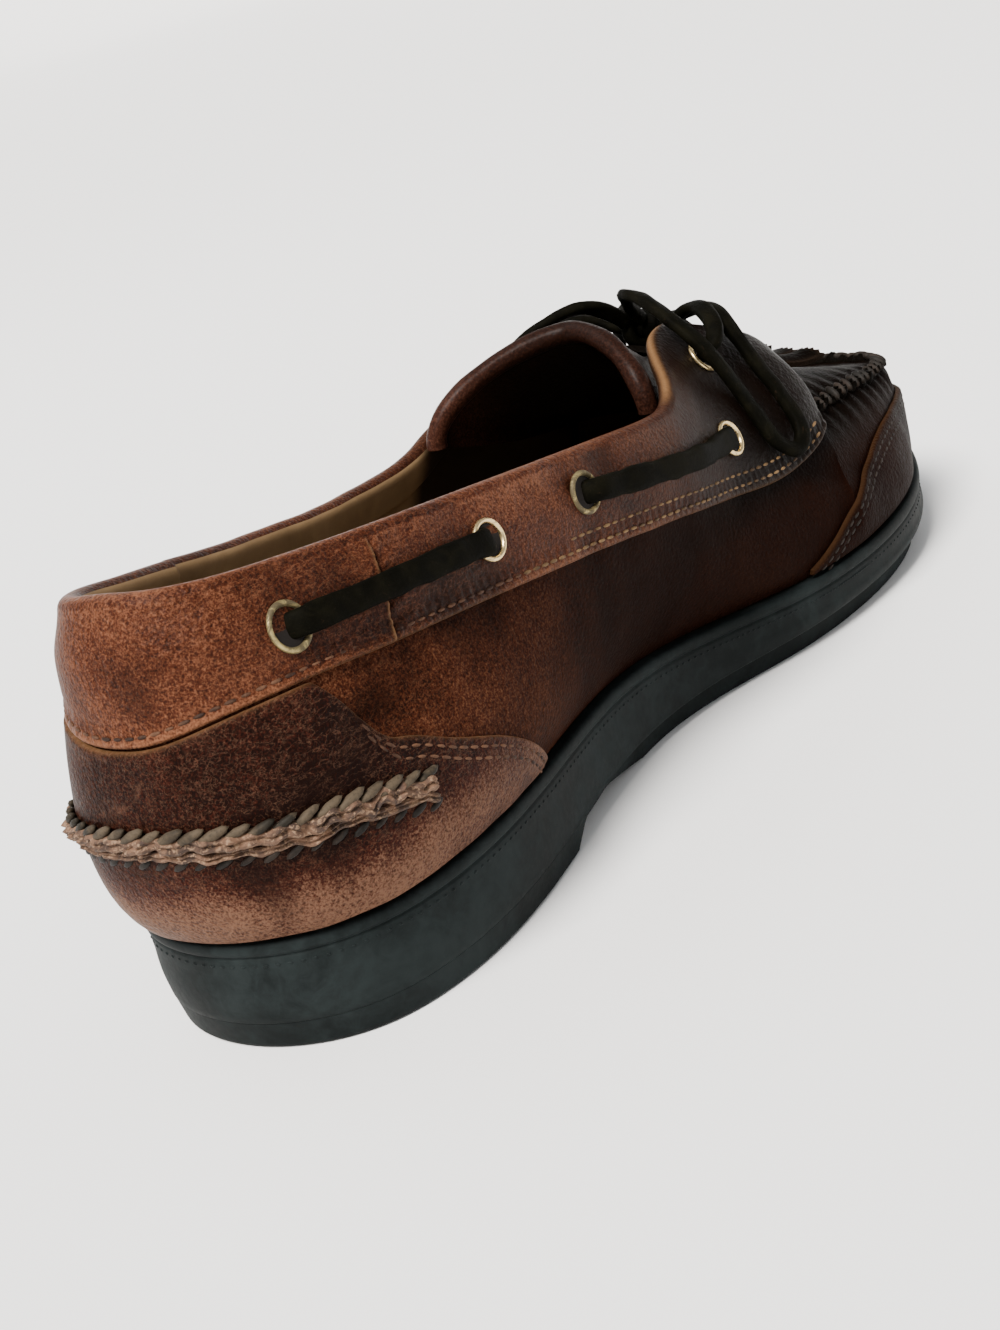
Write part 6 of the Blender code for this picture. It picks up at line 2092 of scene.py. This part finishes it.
gold_thread = thread_finish("gold_thread", (0.036, 0.020, 0.009), (0.160, 0.096, 0.043))
brown_thread = thread_finish("brown_thread", (0.016, 0.007, 0.004), (0.085, 0.040, 0.021))
whip_cord = thread_finish("whip_cord", (0.010, 0.0078, 0.0048), (0.056, 0.041, 0.026))
dark_cord = thread_finish("dark_cord", (0.004, 0.003, 0.002), (0.015, 0.010, 0.007), 0.55)

# the free lace: piece, node, route, way its flat side faces, far end, how it lies, and a seed
for name, node, route, up, far_end, lay, seed in (
        ("lace_crossing", "lace_knot", crossing_route(), (0, 0, 1), "object", "taut", 2),
        ("loop_medial", "lace_loop_medial", MEDIAL_LOOP_ROUTE, (0.7, -0.1, 0.7), "object",
         "loose", 3),
        ("loop_lateral", "lace_loop_lateral", LATERAL_LOOP_ROUTE, (-0.7, -0.1, 0.7), "object",
         "loose", 4),
        ("loose_end", "lace_end", END_ROUTE, (0.4, 0.2, 1), "bare", "hanging", 5),
        ("front_end", "lace_end_front", FRONT_END_ROUTE, (0, 0.4, 1), "bare", "loose", 6)):
    path = through(route, CORD_STEP)
    piece = make_cord(name, rawhide, path, up, seed)
    carry(piece, "rawhide_lace", node)
carry(make_knot(rawhide), "rawhide_lace")

# rubber and footbed
carry(make_sole_wall(rubber), "black_rubber", "midsole")
carry(make_tread(tread_rubber), "tread_rubber", "outsole")
carry(make_footbed(footbed_finish()), "footbed", "insole")

# upper
carry(make_shell(upper_leather, lining), "brown_leather", "upper")
carry(make_collar_band(band_leather, lining), "overlay_leather", "collar_band")
carry(make_counter(counter_leather), "overlay_leather", "heel_counter")
carry(make_guard(upper_leather), "overlay_leather", "toe_guard")
carry(make_tongue(tongue_leather), "tongue_leather", "tongue")
carry(make_kiltie(kiltie_leather), "kiltie_leather", "kiltie")
carry(make_heel_seam(raw_leather), "whipped_seam", "heel_braid")
carry(make_toe_seam(kiltie_leather), "whipped_seam", "moc_seam")

# eyelets and the laces between them
for side_name, side in (("medial", 1), ("lateral", -1)):
    for number, row in enumerate(EYELETS, 1):
        seat, normal = eyelet_seat(row, side)
        metal = olive_brass if number in (1, 3) else bright_brass
        ring = make_eyelet(f"ring_{side_name}_{number}", metal, bore_shade, seat, normal,
                           EYELET_STRETCH[number - 1])
        carry(ring, "antique_brass", f"eyelet_{side_name}_{number}")
    for place, first in (("rear", 0), ("front", 2)):
        bar = make_lace_bar(f"bar_{side_name}_{place}", rawhide, EYELETS[first],
                            EYELETS[first + 1], side, 7 + first)
        carry(bar, "rawhide_lace", f"lace_{side_name}_{place}")

# stitches and whips
tree = stitch_tree()


def band_low(turns):
    """Rise of the band's lower edge."""
    return rise_at(turns, band_seam(turns))


def band_face(distance):
    """Height of the band's face at a distance above its lower edge."""
    lift = GAP + OVERLAY_WALL + BAND_PILLOW * smooth_step(*PILLOW_RISE, distance)
    return lift - sunk_rows(distance, BAND_STITCHES)


def overlay_rows(lines, spans, distances, lift):
    """Stitch rows at their distances below the upper line of an overlay."""
    return [pitch_row(span, shifted(lambda turns: lines(turns)[1], -distance),
                      lift + OVERLAY_WALL - sunk_rows(distance, distances), STITCH)
            for span in spans for distance in distances]


def stitch(name, finish, rows, size, seed, slot="whipped_seam"):
    """A piece of stitches along rows."""
    carry(sewn(name, tree, finish, rows, size, seed), slot)


half = turn_of(REAR_ROW_REACH)
reach = BAND_END - ROW_SHORT
rear_rows = [pitch_row((-half, half), shifted(band_low, BAND_STITCHES[0]),
                       band_face(BAND_STITCHES[0]), STITCH)]
front_rows = [pitch_row((side * start, side * reach), shifted(band_low, distance),
                        band_face(distance), STITCH)
              for side in (1, -1)
              for distance, start in zip(BAND_STITCHES, (half, turn_of(LOW_ROW_START)))]
stitch("band_stitches_rear", brown_thread, rear_rows, SEW, 2)
stitch("band_stitches_front", gold_thread, front_rows, SEW, 3)

counter_start, counter_end = turn_of(COUNTER_ROW_START), turn_of(COUNTER_FRONT) - COUNTER_SHORT
spans = [(side * counter_start, side * counter_end) for side in (1, -1)]
stitch("counter_stitches", brown_thread,
       overlay_rows(counter_lines, spans, COUNTER_STITCHES, COUNTER_LIFT), SEW, 4)
guard_start = turn_of(GUARD_START) + GUARD_SHORT
spans = [(guard_start, 2 * math.pi - guard_start)]
stitch("guard_stitches", dark_cord,
       overlay_rows(guard_lines, spans, GUARD_STITCHES, GAP), SEW, 5)

# for each row of the heel: thread, size, height over the seam's line and the counter, slant
span = (-HEEL_FRONT, HEEL_FRONT)
for name, finish, size, rise, lift, slant, seed in (
        ("heel_rope", whip_cord, HEEL_ROPE, 1.5 * MM, 1.0 * MM, 24, 6),
        ("heel_whips", dark_cord, HEEL_WHIP, -4.6 * MM, -0.1 * MM, 30, 7)):
    row = pitch_row(span, shifted(heel_line, rise), COUNTER_FACE + lift, HEEL_PITCH, slant)
    stitch(name, finish, [row], size, seed)
first = SEAM_TURN + MOC_SEAM_START + TOE_ROW_SHORT
row = pitch_row((first, 2 * math.pi - first), fixed(1.0), TOE_ROW_LIFT, TOE_PITCH, TOE_SLANT)
stitch("toe_whips", dark_cord, [row], TOE_WHIP, 8)
stitch("mould_dots", rubber, [mould_row()], MOULD_DOT, 9, "black_rubber")

make_studio()
